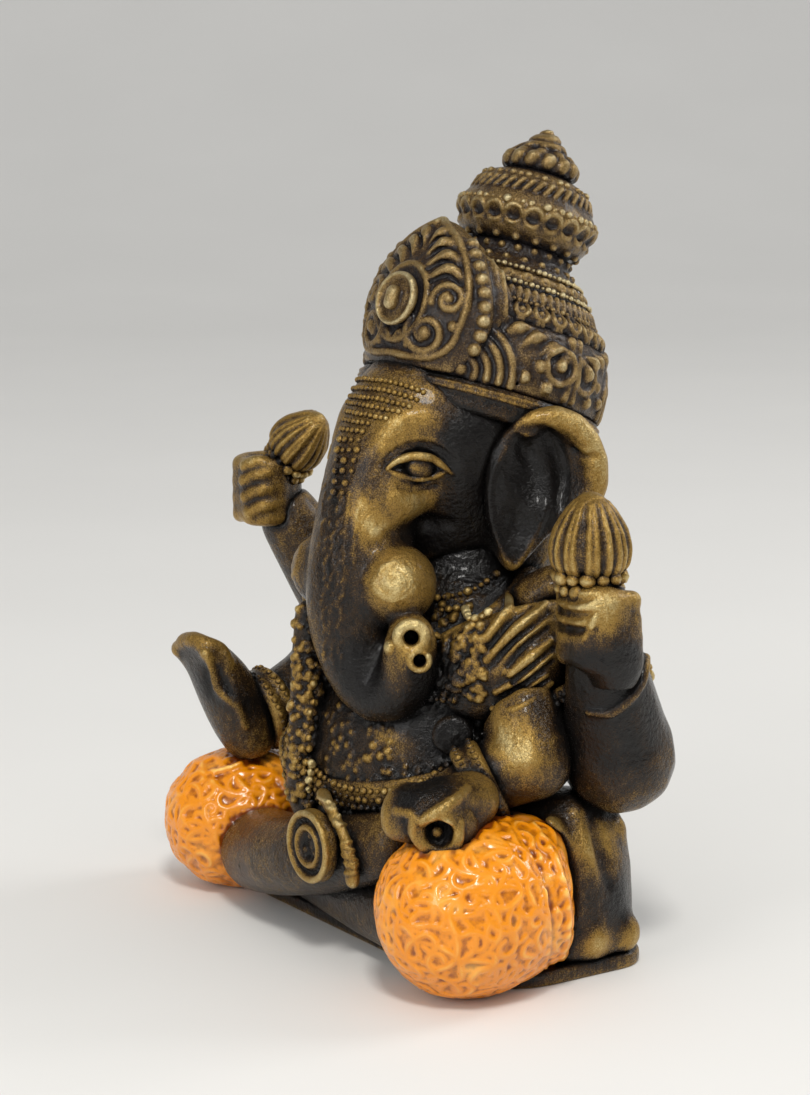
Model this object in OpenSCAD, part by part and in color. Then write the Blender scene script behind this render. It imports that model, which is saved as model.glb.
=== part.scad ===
// Seated four-armed Ganesha, a small altar figurine.
// Millimetres, +Z up, the face looks along -Y, the figure's own left is +X.
// The origin is on the table, under the middle of the figure.

/* [Base] */
// Width of the foot plate
plate_w = 48.6; // [44:0.2:54]
// Front edge of the foot plate, forward of the middle
plate_front = 7.2; // [6:0.2:8.5]
// Back edge of the foot plate, behind the middle
plate_back = 13; // [12:0.2:15]
// Thickness of the foot plate
plate_h = 1.4; // [1:0.1:2.4]

/* [Legs] */
// Distance from the middle to the centre of each knee
knee_x = 21.3; // [20:0.1:23]
// Distance that the knee centres lie forward of the middle
knee_y = 7.7; // [6.5:0.1:9]
// Radius of the left knee under its cloth
knee_r_left = 8.5; // [7.6:0.1:9.2]
// Radius of the right knee under its cloth
knee_r_right = 7.4; // [6.8:0.1:8.6]
// Radius of the shins at the ankle
ankle_r = 3.2; // [2.8:0.1:3.8]
// Height of the haunches
haunch_h = 16.5; // [14:0.1:18]

/* [Trunk of the body] */
// Width of the belly
belly_w = 29; // [26:0.2:31]
// Depth of the belly
belly_d = 24; // [22:0.2:26]
// Height of the middle of the belly
belly_z = 18; // [16:0.2:20]
// Height of the shoulders
shoulder_z = 33; // [31:0.2:34.5]
// Half the width across the shoulders
shoulder_x = 12.5; // [11.5:0.1:13.5]

/* [Head] */
// Turn of the head towards the figure's left, in degrees
head_turn = 8; // [0:1:12]
// Width of the skull
skull_w = 20; // [18:0.2:21]
// Depth of the skull
skull_d = 25; // [23:0.2:27]
// Height of the middle of the skull
skull_z = 49; // [48:0.2:50.5]
// Width of the trunk at the cheeks
trunk_w = 9.2; // [8:0.2:10.4]
// Radius of the trunk's tip
trunk_tip_r = 2.4; // [2:0.1:2.8]
// Thickness of the ears
ear_t = 2.6; // [2.2:0.1:3.2]
// Radius of the rolled rim of the ears
ear_rim_r = 1.25; // [1:0.05:1.5]
// Radius of the eyeballs
eye_r = 1.5; // [1.2:0.1:1.8]

/* [Crown] */
// Lean of the crown towards the back, in degrees
crown_tilt = 20; // [14:1:22]
// Height of the middle of the crown's foot
crown_z = 53.6; // [53:0.1:54.6]
// Radius of the drum
drum_r = 12; // [11.4:0.1:12.6]
// Height of the drum
drum_h = 7; // [6:0.1:8]
// Height of the leaf-shaped crest above the crown's foot
crest_h = 15.2; // [14:0.1:17]
// Half the width of the crest
crest_w = 8.4; // [7:0.1:9]
// Height of the stack of bands between drum and neck
bands_h = 5.6; // [4.8:0.1:6.4]
// Radius of the neck under the finial
neck_r = 5.1; // [4.6:0.1:5.6]
// Radius of the finial's bowl
bowl_r = 7.1; // [6.6:0.1:7.6]
// Height of the finial
finial_h = 12.6; // [11:0.1:14]
// Radius of the beads on the crown
crown_bead_r = 0.5; // [0.4:0.02:0.6]

/* [Arms] */
// Radius of the upper arms
arm_r = 4.5; // [4:0.1:5]
// Radius of the forearms at the wrist
wrist_r = 2.9; // [2.6:0.1:3.3]
// Radius of the fingers
finger_r = 1; // [0.85:0.05:1.15]
// Radius of the cord that the bangles are made of
bangle_r = 0.75; // [0.6:0.05:0.95]
// Radius of the lotus bud
bud_r = 3.6; // [3.2:0.1:3.9]
// Radius of the sweet in the left palm
sweet_r = 1.4; // [1.2:0.05:1.7]

/* [Dress] */
// Number of folds to be seen in each shawl
shawl_folds = 5; // [4:1:6]
// Depth of the folds of the shawls
fold_r = 0.9; // [0.7:0.05:1.05]
// Half the height of the belt
belt_h = 2.3; // [1.8:0.1:2.8]
// Radius of the necklace
necklace_r = 1.2; // [1:0.05:1.4]

/* [Hidden] */

black = "#1d1a18";
gilt = "#8a7440";
orange = "#f0920a";

// True while a form only cuts its neighbour: round forms are then drawn with fewer sides
$cutting = false;

// Middle of the neck, the pivot of the head
neck_y = 6;
// Place of the crown's axis on the head
crown_y = neck_y + 3.6;

// ---------------------------------------------------------------- geometry

function unit(v) = v / norm(v);

// Catmull-Rom point between b and c
function curve_point(a, b, c, d, t) =
    0.5 * (2 * b + (c - a) * t + (2 * a - 5 * b + 4 * c - d) * t * t
    + (3 * b - a - 3 * c + d) * t * t * t);

// Smooth run of points through the given ones
function curve(keys, steps) = let (last = len(keys) - 1) [
    for (i = [0 : steps])
        let (s = i * last / steps, k = min(floor(s), last - 1))
        curve_point(keys[max(k - 1, 0)], keys[k], keys[k + 1], keys[min(k + 2, last)], s - k)
];

function place(key) = [key[0], key[1], key[2]];

// Direction of the run at point i
function heading(run, i) =
    unit(place(run[min(i + 1, len(run) - 1)]) - place(run[max(i - 1, 0)]));

// One ring of a limb: half width a lies across, half depth b lies along the reference.
// Folds are lobes round the ring, four corners to each, that stand out by a share of a.
function ring(middle, along, depth, a, b, sides, folds = 0, fold = 0) =
    let (w = unit(depth - (depth * along) * along), s = cross(w, along))
    [for (j = [0 : sides - 1])
        let (t = 360 * j / sides, out = a + fold * cos(folds * t))
        middle + out * cos(t) * s + b * sin(t) * w];

// A limb through keys [x, y, z, half width, half depth], with domed ends.
// bluntness 1 gives a round end, 0.2 a nearly flat one.
module limb(keys, steps = 6, depth = [0, 1, 0], start = 0.5, end = 0.9, sides = 12, caps = 2,
    folds = 0, fold = 0) {
    run = curve(keys, steps);
    last = len(run) - 1;
    foot = run[0];
    tip = run[last];
    foot_way = heading(run, 0);
    tip_way = heading(run, last);
    foot_len = start * min(foot[3], foot[4]);
    tip_len = end * min(tip[3], tip[4]);
    angles = [for (k = [1 : caps]) 90 * k / (caps + 1)];
    rings = concat(
        [for (k = [caps - 1 : -1 : 0])
            ring(place(foot) - foot_len * sin(angles[k]) * foot_way, foot_way, depth,
                foot[3] * cos(angles[k]), foot[4] * cos(angles[k]), sides)],
        [for (i = [0 : last])
            ring(place(run[i]), heading(run, i), depth, run[i][3], run[i][4], sides, folds, fold)],
        [for (k = [0 : caps - 1])
            ring(place(tip) + tip_len * sin(angles[k]) * tip_way, tip_way, depth,
                tip[3] * cos(angles[k]), tip[4] * cos(angles[k]), sides)]
    );
    count = len(rings);
    points = concat(
        [for (r = rings) for (p = r) p],
        [place(foot) - foot_len * foot_way, place(tip) + tip_len * tip_way]
    );
    walls = [for (i = [0 : count - 2]) for (j = [0 : sides - 1])
        let (n = (j + 1) % sides)
        [i * sides + j, (i + 1) * sides + j, (i + 1) * sides + n, i * sides + n]];
    foot_fan = [for (j = [0 : sides - 1]) [count * sides, j, (j + 1) % sides]];
    tip_fan = [for (j = [0 : sides - 1])
        [count * sides + 1, (count - 1) * sides + (j + 1) % sides, (count - 1) * sides + j]];
    polyhedron(points, concat(walls, foot_fan, tip_fan), convexity = 6);
}

// An egg with half sizes v at a place
module egg(at, v, turn = [0, 0, 0], facets = 16) {
    translate(at) rotate(turn) scale(v) sphere(1, $fn = facets);
}

// The same form on both sides of the figure
module mirrored(side) {
    if (side > 0) children();
    else mirror([1, 0, 0]) children();
}

// Everything on the head turns with it about the neck
module turned() {
    translate([0, neck_y, 0]) rotate([0, 0, head_turn]) translate([0, -neck_y, 0]) children();
}

// Everything on the crown leans back with it
module on_crown(t = 0) {
    turned() translate([0, crown_y, crown_z]) rotate([-crown_tilt, 0, 0])
        translate([0, 0, t]) children();
}

// Stretches a profile of revolution is turned from
module turned_profile(points) {
    rotate_extrude($fn = $cutting ? 28 : 40) polygon(points);
}

// A cord bent into a ring about a direction
module cord_ring(at, way, ring_r, cord_r) {
    translate(at) rotate([0, acos(way[2] / norm(way)), atan2(way[1], way[0])])
        rotate_extrude($fn = $cutting ? 16 : 24)
            translate([ring_r, 0]) circle(cord_r, $fn = $cutting ? 8 : 16);
}

// Keeps what stands on the table, or on the foot plate
module above(level) {
    intersection() {
        children();
        translate([-50, -50, level]) cube([100, 100, 100]);
    }
}

// ------------------------------------------------------------------- base

function corner(cx, cy, r, from) =
    [for (i = [0 : 6]) [cx + r * cos(from + 15 * i), cy + r * sin(from + 15 * i)]];

front_corner_r = 8;
back_corner_r = 3.5;

module foot_plate_form() {
    x = plate_w / 2;
    linear_extrude(plate_h) polygon(concat(
        corner(x - front_corner_r, front_corner_r - plate_front, front_corner_r, -90),
        corner(x - back_corner_r, plate_back - back_corner_r, back_corner_r, 0),
        corner(back_corner_r - x, plate_back - back_corner_r, back_corner_r, 90),
        corner(front_corner_r - x, front_corner_r - plate_front, front_corner_r, 180)
    ));
}

// ------------------------------------------------------------------ crown

drum_top_r = drum_r - 1.4;
bands_top_r = neck_r + 1.5;
bands_z = drum_h;
neck_z = bands_z + bands_h;
finial_z = neck_z + 2.6;
band_count = 3;

function band_r(k) = drum_top_r + (bands_top_r - drum_top_r) * k / band_count;
function band_z(k) = bands_z + bands_h * k / band_count;

module drum() {
    turned_profile([
        [0, 0], [drum_r, 0], [drum_r, 0.45 * drum_h], [drum_top_r + 0.5, 0.9 * drum_h],
        [drum_top_r, drum_h], [0, drum_h]
    ]);
}

module crown_drum_form() {
    on_crown() drum();
}

// Three stepped bands and the neck above them
module bands() {
    step = bands_h / band_count;
    turned_profile(concat(
        [[0, bands_z]],
        [for (k = [0 : band_count - 1]) for (p = [
            [band_r(k), band_z(k)], [band_r(k), band_z(k) + 0.55 * step],
            [band_r(k + 1) + 0.35, band_z(k) + 0.8 * step], [band_r(k + 1), band_z(k + 1)]
        ]) p],
        [[neck_r + 0.4, neck_z + 1.2], [neck_r, finial_z], [0, finial_z]]
    ));
}

module crown_bands_form() {
    on_crown() bands();
}

// Bead rows stand clear of the crest, which covers the front of the bands
crest_angle = 46;

module crown_beads_form() {
    for (k = [0 : band_count - 1]) {
        row_r = band_r(k) + crown_bead_r;
        count = 2 * floor(PI * row_r / (3.1 * crown_bead_r));
        for (i = [0 : count - 1]) {
            angle = 360 * i / count;
            if (abs(angle - 180) > crest_angle)
                on_crown() rotate([0, 0, angle + 90])
                    translate([row_r, 0, band_z(k) + 0.28 * bands_h / band_count])
                        sphere(crown_bead_r, $fn = 16);
        }
    }
}

// Half of the crest's outline, from its foot to its point
function crest_side() = curve([
    [0.76 * crest_w, 0], [0.96 * crest_w, 0.2 * crest_h], [crest_w, 0.46 * crest_h],
    [0.82 * crest_w, 0.68 * crest_h], [0.5 * crest_w, 0.86 * crest_h], [0, crest_h]
], 9);

// The crest is a curved plate: how far it stands forward of the drum, how thick it is,
// and how far forward of the crown's axis its own curve is centred
crest_proud = 1.9;
crest_t = 2.4;
crest_shift = 3;

module crest_curve(inset) {
    r = drum_r - crest_shift - inset;
    translate([0, -crest_shift, 0]) turned_profile([
        [0, -0.5], [r + 0.9, -0.5], [r + 0.8 * crest_proud, 0.2 * crest_h],
        [r + crest_proud, 0.4 * crest_h], [r + 0.75 * crest_proud, 0.62 * crest_h],
        [r, 0.84 * crest_h], [r - 1.2, crest_h + 0.2], [0, crest_h + 0.2]
    ]);
}

module crown_crest_form() {
    reach = drum_r + crest_proud + 2;
    side = crest_side();
    top = len(side) - 1;
    on_crown() difference() {
        intersection() {
            crest_curve(0);
            rotate([90, 0, 0]) linear_extrude(reach)
                polygon(concat(side, [for (i = [1 : top]) [-side[top - i][0], side[top - i][1]]]));
        }
        crest_curve(crest_t);
        drum();
        bands();
    }
}

jewel_z = 0.4 * crest_h;
jewel_r = 1.5;

// The jewel in the middle of the crest, with a cord round it
module crown_jewel_form() {
    on_crown(jewel_z) translate([0, -drum_r - crest_proud - 0.1, 0]) rotate([90, 0, 0]) {
        cylinder(h = 0.8, r = jewel_r, $fn = 40);
        translate([0, 0, 0.35]) rotate_extrude($fn = 40)
            translate([jewel_r + 0.75, 0]) circle(0.45, $fn = 16);
    }
}

brow_cord_r = 0.8;

module brow_band_form() {
    for (k = [0, 1])
        on_crown() cord_ring([0, 0, -(1.2 + 1.7 * k) * brow_cord_r], [0, 0, 1],
            drum_r - 0.2 - 0.5 * k, brow_cord_r);
}

module finial_bowl_form() {
    on_crown(finial_z) turned_profile([
        [0, 0], [neck_r, 0], [0.9 * bowl_r, 0.07 * finial_h], [0.94 * bowl_r, 0.12 * finial_h],
        [0.86 * bowl_r, 0.17 * finial_h], [0.99 * bowl_r, 0.22 * finial_h],
        [bowl_r, 0.29 * finial_h], [0.9 * bowl_r, 0.38 * finial_h],
        [0.78 * bowl_r, 0.43 * finial_h], [0.82 * bowl_r, 0.48 * finial_h],
        [0.7 * bowl_r, 0.56 * finial_h], [0.42 * bowl_r, 0.62 * finial_h], [0, 0.62 * finial_h]
    ]);
}

module finial_tip_form() {
    on_crown(finial_z + 0.62 * finial_h) turned_profile([
        [0, 0], [0.42 * bowl_r, 0], [0.5 * bowl_r, 0.08 * finial_h],
        [0.44 * bowl_r, 0.14 * finial_h], [0.33 * bowl_r, 0.17 * finial_h],
        [0.3 * bowl_r, 0.24 * finial_h], [0.17 * bowl_r, 0.32 * finial_h],
        [0.06 * bowl_r, 0.375 * finial_h], [0, 0.38 * finial_h]
    ]);
}

finial_bead_r = 0.62;

// A row of beads round the bowl and one round the foot of the tip
module finial_beads_form() {
    rows = [[bowl_r, 0.255], [0.5 * bowl_r, 0.70]];
    for (row = rows) {
        row_r = row[0] + finial_bead_r;
        count = floor(2 * PI * row_r / (2.6 * finial_bead_r));
        for (i = [0 : count - 1])
            on_crown(finial_z + row[1] * finial_h) rotate([0, 0, 360 * i / count])
                translate([row_r, 0, 0]) sphere(finial_bead_r, $fn = 16);
    }
}

// ------------------------------------------------------------------- head

skull_y = neck_y + 2;
eye_at = [0.52 * skull_w / 2, -3.6, skull_z - 0.5];

// Drawn for the left side: mirrored before the head turns
module head_pair(side) {
    turned() mirrored(side) children();
}

module eye_form(side) {
    head_pair(side) translate(eye_at) sphere(eye_r, $fn = $cutting ? 10 : 16);
}

module trunk_form() {
    w = trunk_w / 2;
    r = trunk_tip_r;
    turned() limb([
        [0, 0.9, 52.6, w + 2.4, w + 2], [0, -1.2, 50.4, w + 1.7, w + 1.5],
        [0, -3.6, 47.5, w + 1, w + 0.9], [0, -5.8, 42.5, w + 0.4, w + 0.4],
        [0, -7.5, 37.5, w, w], [0.2, -8, 33, w - 0.4, w - 0.3], [1.6, -7.8, 28.7, w - 0.9, w - 0.8],
        [4.2, -7.4, 26, r + 0.9, r + 0.9], [7, -7.2, 27.2, r + 0.5, r + 0.5],
        [8.3, -7.4, 30.2, r + 0.3, r + 0.3], [8.7, -8, 32.3, r + 0.2, r + 0.1]
    ], steps = 17, start = 0.5, end = 0.25, sides = 14);
}

tusk_r = 3.8;

module tusk_form(side) {
    head_pair(side) egg([trunk_w / 2 + 0.3, -6.2, 37], [tusk_r, tusk_r + 0.2, tusk_r + 0.1],
        facets = 18);
}

// Outline of an ear: across, up
ear_outline = [
    [-1.6, 3.6], [1, 6.6], [4, 7.8], [7.2, 6.7], [9.2, 3.4], [9.2, -0.4], [7.4, -3],
    [4, -4.6], [0.4, -8.4], [-1.4, -5], [-2.1, -1]
];

function closed_curve(keys, per) = let (n = len(keys)) [
    for (i = [0 : n - 1]) for (j = [0 : per - 1])
        curve_point(keys[(i + n - 1) % n], keys[i], keys[(i + 1) % n], keys[(i + 2) % n], j / per)
];

module ear_form(side) {
    rim = [for (i = [1 : 6]) ear_outline[i]];
    head_pair(side) translate([skull_w / 2 - 0.4, 4, 46]) rotate([0, 0, 52]) rotate([90, 0, 0]) {
        difference() {
            translate([0, 0, -ear_t / 2]) linear_extrude(ear_t) polygon(closed_curve(ear_outline, 2));
            egg([4, 2.2, ear_t / 2 + 0.9], [4.5, 4.7, 2.4], facets = 14);
            egg([0.9, -3.4, ear_t / 2 + 0.6], [1.8, 2.8, 1.3], facets = 10);
        }
        limb([for (p = rim) [p[0] * 0.9 + 0.3, p[1] * 0.9, 0.3 * ear_t, ear_rim_r, ear_rim_r]],
            steps = 8, depth = [0, 0, 1], sides = 8, caps = 1);
    }
}

module head_form() {
    a = skull_w / 2;
    b = skull_d / 2;
    turned() {
        limb([
            [0, neck_y - 1, skull_z - 11, 0.62 * a, 0.54 * b],
            [0, skull_y - 1.8, skull_z - 6.5, 0.84 * a, 0.78 * b],
            [0, skull_y - 1.2, skull_z - 1, a, 1.02 * b],
            [0, crown_y - 3.2, crown_z - 2, a, 0.96 * b],
            [0, crown_y - 2.2, crown_z + 0.6, 0.92 * a, 0.84 * b]
        ], steps = 8, start = 0.6, end = 0.3, sides = 20);
        egg([0, neck_y + 3.4, skull_z - 9.5], [0.98 * a, 0.62 * b, 0.8 * a]);
    }
}

// ------------------------------------------------------------------- arms

shoulder = [shoulder_x, 4.5, shoulder_z - 2];
elbow = [belly_w / 2 + 4.7, 1.8, 21.2];
left_wrist = [belly_w / 2 + 2.3, -2.6, 18.8];
right_wrist = [-belly_w / 2 - 4.1, -5, 19.4];
rear_shoulder = [shoulder_x, 8.8, shoulder_z + 2.4];
left_rear_elbow = [22, 10, 21.2];
left_fist = [25, 5.3, 35];
right_rear_elbow = [-21, 7.2, 27.4];
right_fist = [-25.8, 0.3, 41.2];
fist_r = 3.7;

function key(at, a, b) = [at[0], at[1], at[2], a, b];

// A point part of the way from one to another
function between(from, to, share) = from + share * (to - from);

module upper_arm_form(from, to, swell = 0) {
    limb([
        key(from, arm_r + 0.4, arm_r + 0.4), key(between(from, to, 0.5), arm_r, arm_r),
        key(to, arm_r - 0.4 + swell, arm_r - 0.4 + swell)
    ], steps = 4, end = 1, sides = 10);
}

module forearm_form(from, to, swell = 0) {
    limb([
        key(from, arm_r - 0.5 + swell, arm_r - 0.5 + swell),
        key(between(from, to, 0.5), wrist_r + 0.7 + 0.5 * swell, wrist_r + 0.7 + 0.5 * swell),
        key(to, wrist_r, wrist_r)
    ], steps = 3, end = 0.3, sides = 10);
}

// Two bangles side by side on a wrist
module bangles_form(at, way) {
    for (k = [-0.5, 0.5])
        cord_ring(at + 2 * k * bangle_r * unit(way), way, wrist_r + 0.85 * bangle_r, bangle_r);
}

rear_elbow_swell = 1.5;

module armlet_form(from, to) {
    cord_ring(between(from, to, 0.62), to - from, arm_r + 0.95, bangle_r);
}

// A finger through three or four points
module finger(points, steps = 3) {
    limb([for (p = points) key(p, finger_r, finger_r)], steps = steps, depth = [1, 0, 0.3],
        start = 0.8, end = 1, sides = 6, caps = 1);
}

// The left hand lies palm up on the knee with its fingers closed over the sweet
sweet_at = left_wrist + [4.1, -7.6, -1.9];

module left_palm_hand_form() {
    across = [0.89, 0.45, 0];
    translate(left_wrist) {
        limb([
            key([0.2, -0.9, 0], wrist_r, wrist_r - 0.2),
            [1.3, -3.8, -0.9, 3.5, 2.5], [2.8, -6.6, -2.6, 3.8, 2]
        ], steps = 4, depth = [0, 0, 1], end = 0.5);
        for (k = [-1.5 : 1.5])
            translate(2 * k * finger_r * across) finger([
                [3.4, -8.6, -3.2], [4.2, -10.4, -1.8], [3.5, -9.5, 0.4], [2.4, -7, 0.8]
            ], steps = 4);
        finger([[4, -3.6, -1.6], [5.8, -5.6, -2.8], [6.1, -8, -3.2]]);
    }
}

module sweet_form() {
    translate(sweet_at) sphere(sweet_r, $fn = $cutting ? 10 : 16);
}

// The right hand is raised with the palm forward, in blessing
module right_raised_hand_form() {
    lengths = [4.6, 5.4, 5, 3.8];
    translate(right_wrist) {
        limb([
            [0, -1.6, -3.6, 3, 2.7], [-0.4, -2.8, -0.8, 3.7, 3.1], [-1.2, -4.8, 3.4, 3.9, 2.6],
            [-1.8, -6.5, 6.4, 3.6, 1.6]
        ], steps = 6, end = 0.8);
        for (k = [0 : 3]) {
            x = 3 * finger_r - 2 * k * finger_r * 0.98;
            finger([
                [x - 1.3, -4.9, 2.8], [x - 1.8, -6.4, 3 + 0.55 * lengths[k]],
                [x - 2.2, -7.9, 2.8 + lengths[k]]
            ]);
        }
        finger([[1.7, -3.4, -1.2], [2.1, -4.9, 1.2], [1.3, -6, 3.8]]);
    }
}

// A fist round an upright stem, its fingers one above another
module fist(side, turn) {
    mirrored(side) rotate([0, 0, turn]) {
        egg([0, 0, 0], [0.86 * fist_r, 0.86 * fist_r, fist_r], facets = 12);
        for (k = [-1.5 : 1.5]) {
            z = 1.86 * finger_r * k;
            finger([
                [3.1, 1.6, z], [3, -1.9, z], [0.6, -3.5, z + 0.1], [-2.1, -2.6, z + 0.2],
                [-2.9, -0.9, z + 0.2]
            ], steps = 5);
        }
    }
}

module rear_left_hand_form() {
    translate(left_fist) fist(1, 0);
}

module rear_right_hand_form() {
    translate(right_fist) fist(-1, 0);
}

bud_h = 7.8;
collar_h = 1.6;
right_bud_scale = 0.8;
right_bud_way = [0.62, 0.3, 0.72];

module at_bud(at, way) {
    translate(at) rotate([0, acos(way[2] / norm(way)), atan2(way[1], way[0])]) children();
}

module bud_collar(at, way, size = 1) {
    at_bud(at, way) scale(size) turned_profile([
        [0, 0], [0.62 * bud_r, 0], [0.74 * bud_r, 0.3 * collar_h], [0.74 * bud_r, 0.7 * collar_h],
        [0.62 * bud_r, collar_h], [0, collar_h]
    ]);
}

module bud(at, way, size = 1) {
    at_bud(at, way) scale(size) translate([0, 0, collar_h]) turned_profile([
        [0, 0], [0.62 * bud_r, 0], [0.92 * bud_r, 0.12 * bud_h], [bud_r, 0.3 * bud_h],
        [0.9 * bud_r, 0.52 * bud_h], [0.62 * bud_r, 0.76 * bud_h], [0.3 * bud_r, 0.94 * bud_h],
        [0, bud_h]
    ]);
}

left_bud_at = left_fist + [-0.4, -0.9, fist_r - 0.2];
right_bud_at = right_fist + [1, 0.5, fist_r - 0.7];

// ------------------------------------------------------------------- dress

// A band round the figure, front edge lower: middle, half sizes, tilt, section
module girdle(at, rx, ry, tilt, tall, thick) {
    translate(at) rotate([tilt, 0, 0]) scale([rx, ry, 1]) rotate_extrude($fn = 24)
        translate([1, 0]) scale([thick / rx, tall]) circle(1, $fn = 8);
}

module belt_form() {
    girdle([0, 1.3, belly_z + 1.2], belly_w / 2 + 0.1, belly_d / 2 + 0.1, 20, belt_h, 1);
}

module necklace_form() {
    girdle([0, 4, shoulder_z + 1], 10.9, 9.4, 28, necklace_r, necklace_r);
}

clasp_at = [belly_w / 2 - 1.5, -3.2, belly_z + 4.9];

module belt_clasp_form() {
    cord_ring(clasp_at, [0.8, -0.6, 0.1], 1.35, 0.65);
    translate(clasp_at) sphere(0.9, $fn = 16);
}

module garland_form() {
    limb([
        [-3, -8.4, 33.4, 1.5, 2.4], [-2.9, -8.6, 28, 1.6, 2.8], [-2.5, -10, 21, 1.6, 2],
        [-2, -10.8, 15, 1.7, 1.7], [-1.6, -10.4, 12.6, 1.2, 1.2]
    ], steps = 8, sides = 10);
}

sash_at = [2.4, -11.4, 16];

module sash_tail_form() {
    limb([
        [sash_at[0], sash_at[1], sash_at[2], 0.9, 1.2], [6, -13, 15.9, 0.9, 0.9],
        [8.9, -13.2, 13.6, 0.9, 0.9], [9.9, -12.9, 11, 1.3, 1], [9.7, -12.7, 8.8, 1.2, 1]
    ], steps = 8, sides = 8);
}

medallion_r = 3.6;

// A round ornament on the crossed ankles, its rim doubled
module medallion_form() {
    translate([4.9, -13.5, 11.6]) rotate([90, 0, 0]) turned_profile([
        [0, 0], [medallion_r, 0], [medallion_r, 0.9], [medallion_r - 0.4, 1.3],
        [medallion_r - 1, 1.3], [medallion_r - 1.3, 0.8], [medallion_r - 1.6, 1.2],
        [medallion_r - 2.1, 1.2], [medallion_r - 2.4, 0.6], [0, 0.9]
    ]);
}

// A shawl drawn round the shoulder to the breast, gathered into folds
module shawl_form(side) {
    lobes = 2 * shawl_folds;
    mirrored(side) limb([
        [16.7, 7.8, 31.6, 1.9, 4.9], [17, 3.4, 30.8, 2.3, 5.6], [13.8, -0.9, 28.9, 2.2, 5.3],
        [9.8, -3.4, 27.2, 1.4, 4.2]
    ], steps = 6, depth = [0, 0, 1], start = 0.6, end = 0.6, sides = $cutting ? 16 : 4 * lobes,
        caps = 1, folds = $cutting ? 0 : lobes, fold = 0.45 * fold_r);
}

// -------------------------------------------------------------------- body

module torso_form() {
    a = belly_w / 2;
    b = belly_d / 2;
    limb([
        [0, 3.6, belly_z - 12, 0.9 * a, 0.76 * b], [0, 2, belly_z - 6, a, 0.97 * b],
        [0, 1.2, belly_z, a, b], [0, 2.4, belly_z + 6, 0.92 * a, 0.88 * b],
        [0, 4.4, shoulder_z - 3.5, shoulder_x, 8.8], [0, 5.6, shoulder_z + 0.5, shoulder_x - 1, 7.4],
        [0, 6, shoulder_z + 4, 7.6, 6.4]
    ], steps = 12, start = 0.2, end = 0.8, sides = 24);
}

module knee_cloth_form(side) {
    r = side > 0 ? knee_r_left : knee_r_right;
    above(0) mirrored(side) limb([
        [knee_x - 2.6, 1.2, r - 0.4, 0.94 * r, 0.92 * r], [knee_x - 1.4, -3, r - 0.2, r, 0.97 * r],
        [knee_x, -knee_y, r - 0.2, 1.02 * r, r]
    ], steps = 6, depth = [0, 0, 1], start = 0.2, end = 0.99, sides = 18);
}

module right_shin_form() {
    limb([
        [-14, -8.4, 5.6, 4.6, 4.4], [-6, -10.4, 7.4, 4.2, 4.1], [3, -10.4, 9.8, 3.8, 3.9],
        [11.5, -8.8, 12.4, ankle_r, ankle_r]
    ], steps = 6, depth = [0, 0, 1], end = 0.8, sides = 14);
}

module left_shin_form() {
    above(0) limb([
        [15, -6.6, 5, 4.2, 4.2], [5, -6.4, 4.8, 4, 3.9], [-6, -5.4, 4.4, ankle_r + 0.4, ankle_r],
        [-12, -4.6, 4, ankle_r, ankle_r]
    ], steps = 6, depth = [0, 0, 1], end = 0.8, sides = 14);
}

// The haunch under its cloth: broad folds that end in rounded hems
module haunch_form(side) {
    above(plate_h) mirrored(side) {
        limb([
            [18.4, 6.2, 2, 6.2, 7], [18.4, 6.2, 0.45 * haunch_h, 6.2, 7.1],
            [18, 6.4, 0.75 * haunch_h, 5.6, 6.6], [17.2, 6.8, 0.9 * haunch_h, 4.4, 5.4]
        ], steps = 4, start = 0.2, end = 0.5, sides = 14);
        limb([
            [21.6, 1.8, 0.93 * haunch_h, 1.4, 1.4], [23.4, 2.4, 0.72 * haunch_h, 1.5, 1.5],
            [23.6, 3.4, 0.42 * haunch_h, 1.3, 1.3]
        ], steps = 3, sides = 8, caps = 1);
        egg([21, 5.4, 0.94 * haunch_h], [1.6, 1.4, 1.6], facets = 8);
        egg([20.2, 8.4, 0.95 * haunch_h], [1.6, 1.4, 1.6], facets = 8);
        egg([23.8, 5.8, 3.6], [1.7, 1.8, 2.1], facets = 8);
        egg([23.4, 10, 3.4], [1.7, 1.8, 2.1], facets = 8);
    }
}

module seat_form() {
    above(plate_h) egg([0, 4.2, 7.4], [12.8, 8.9, 8.6], facets = 16);
}

// ------------------------------------------------------- where parts meet

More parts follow.
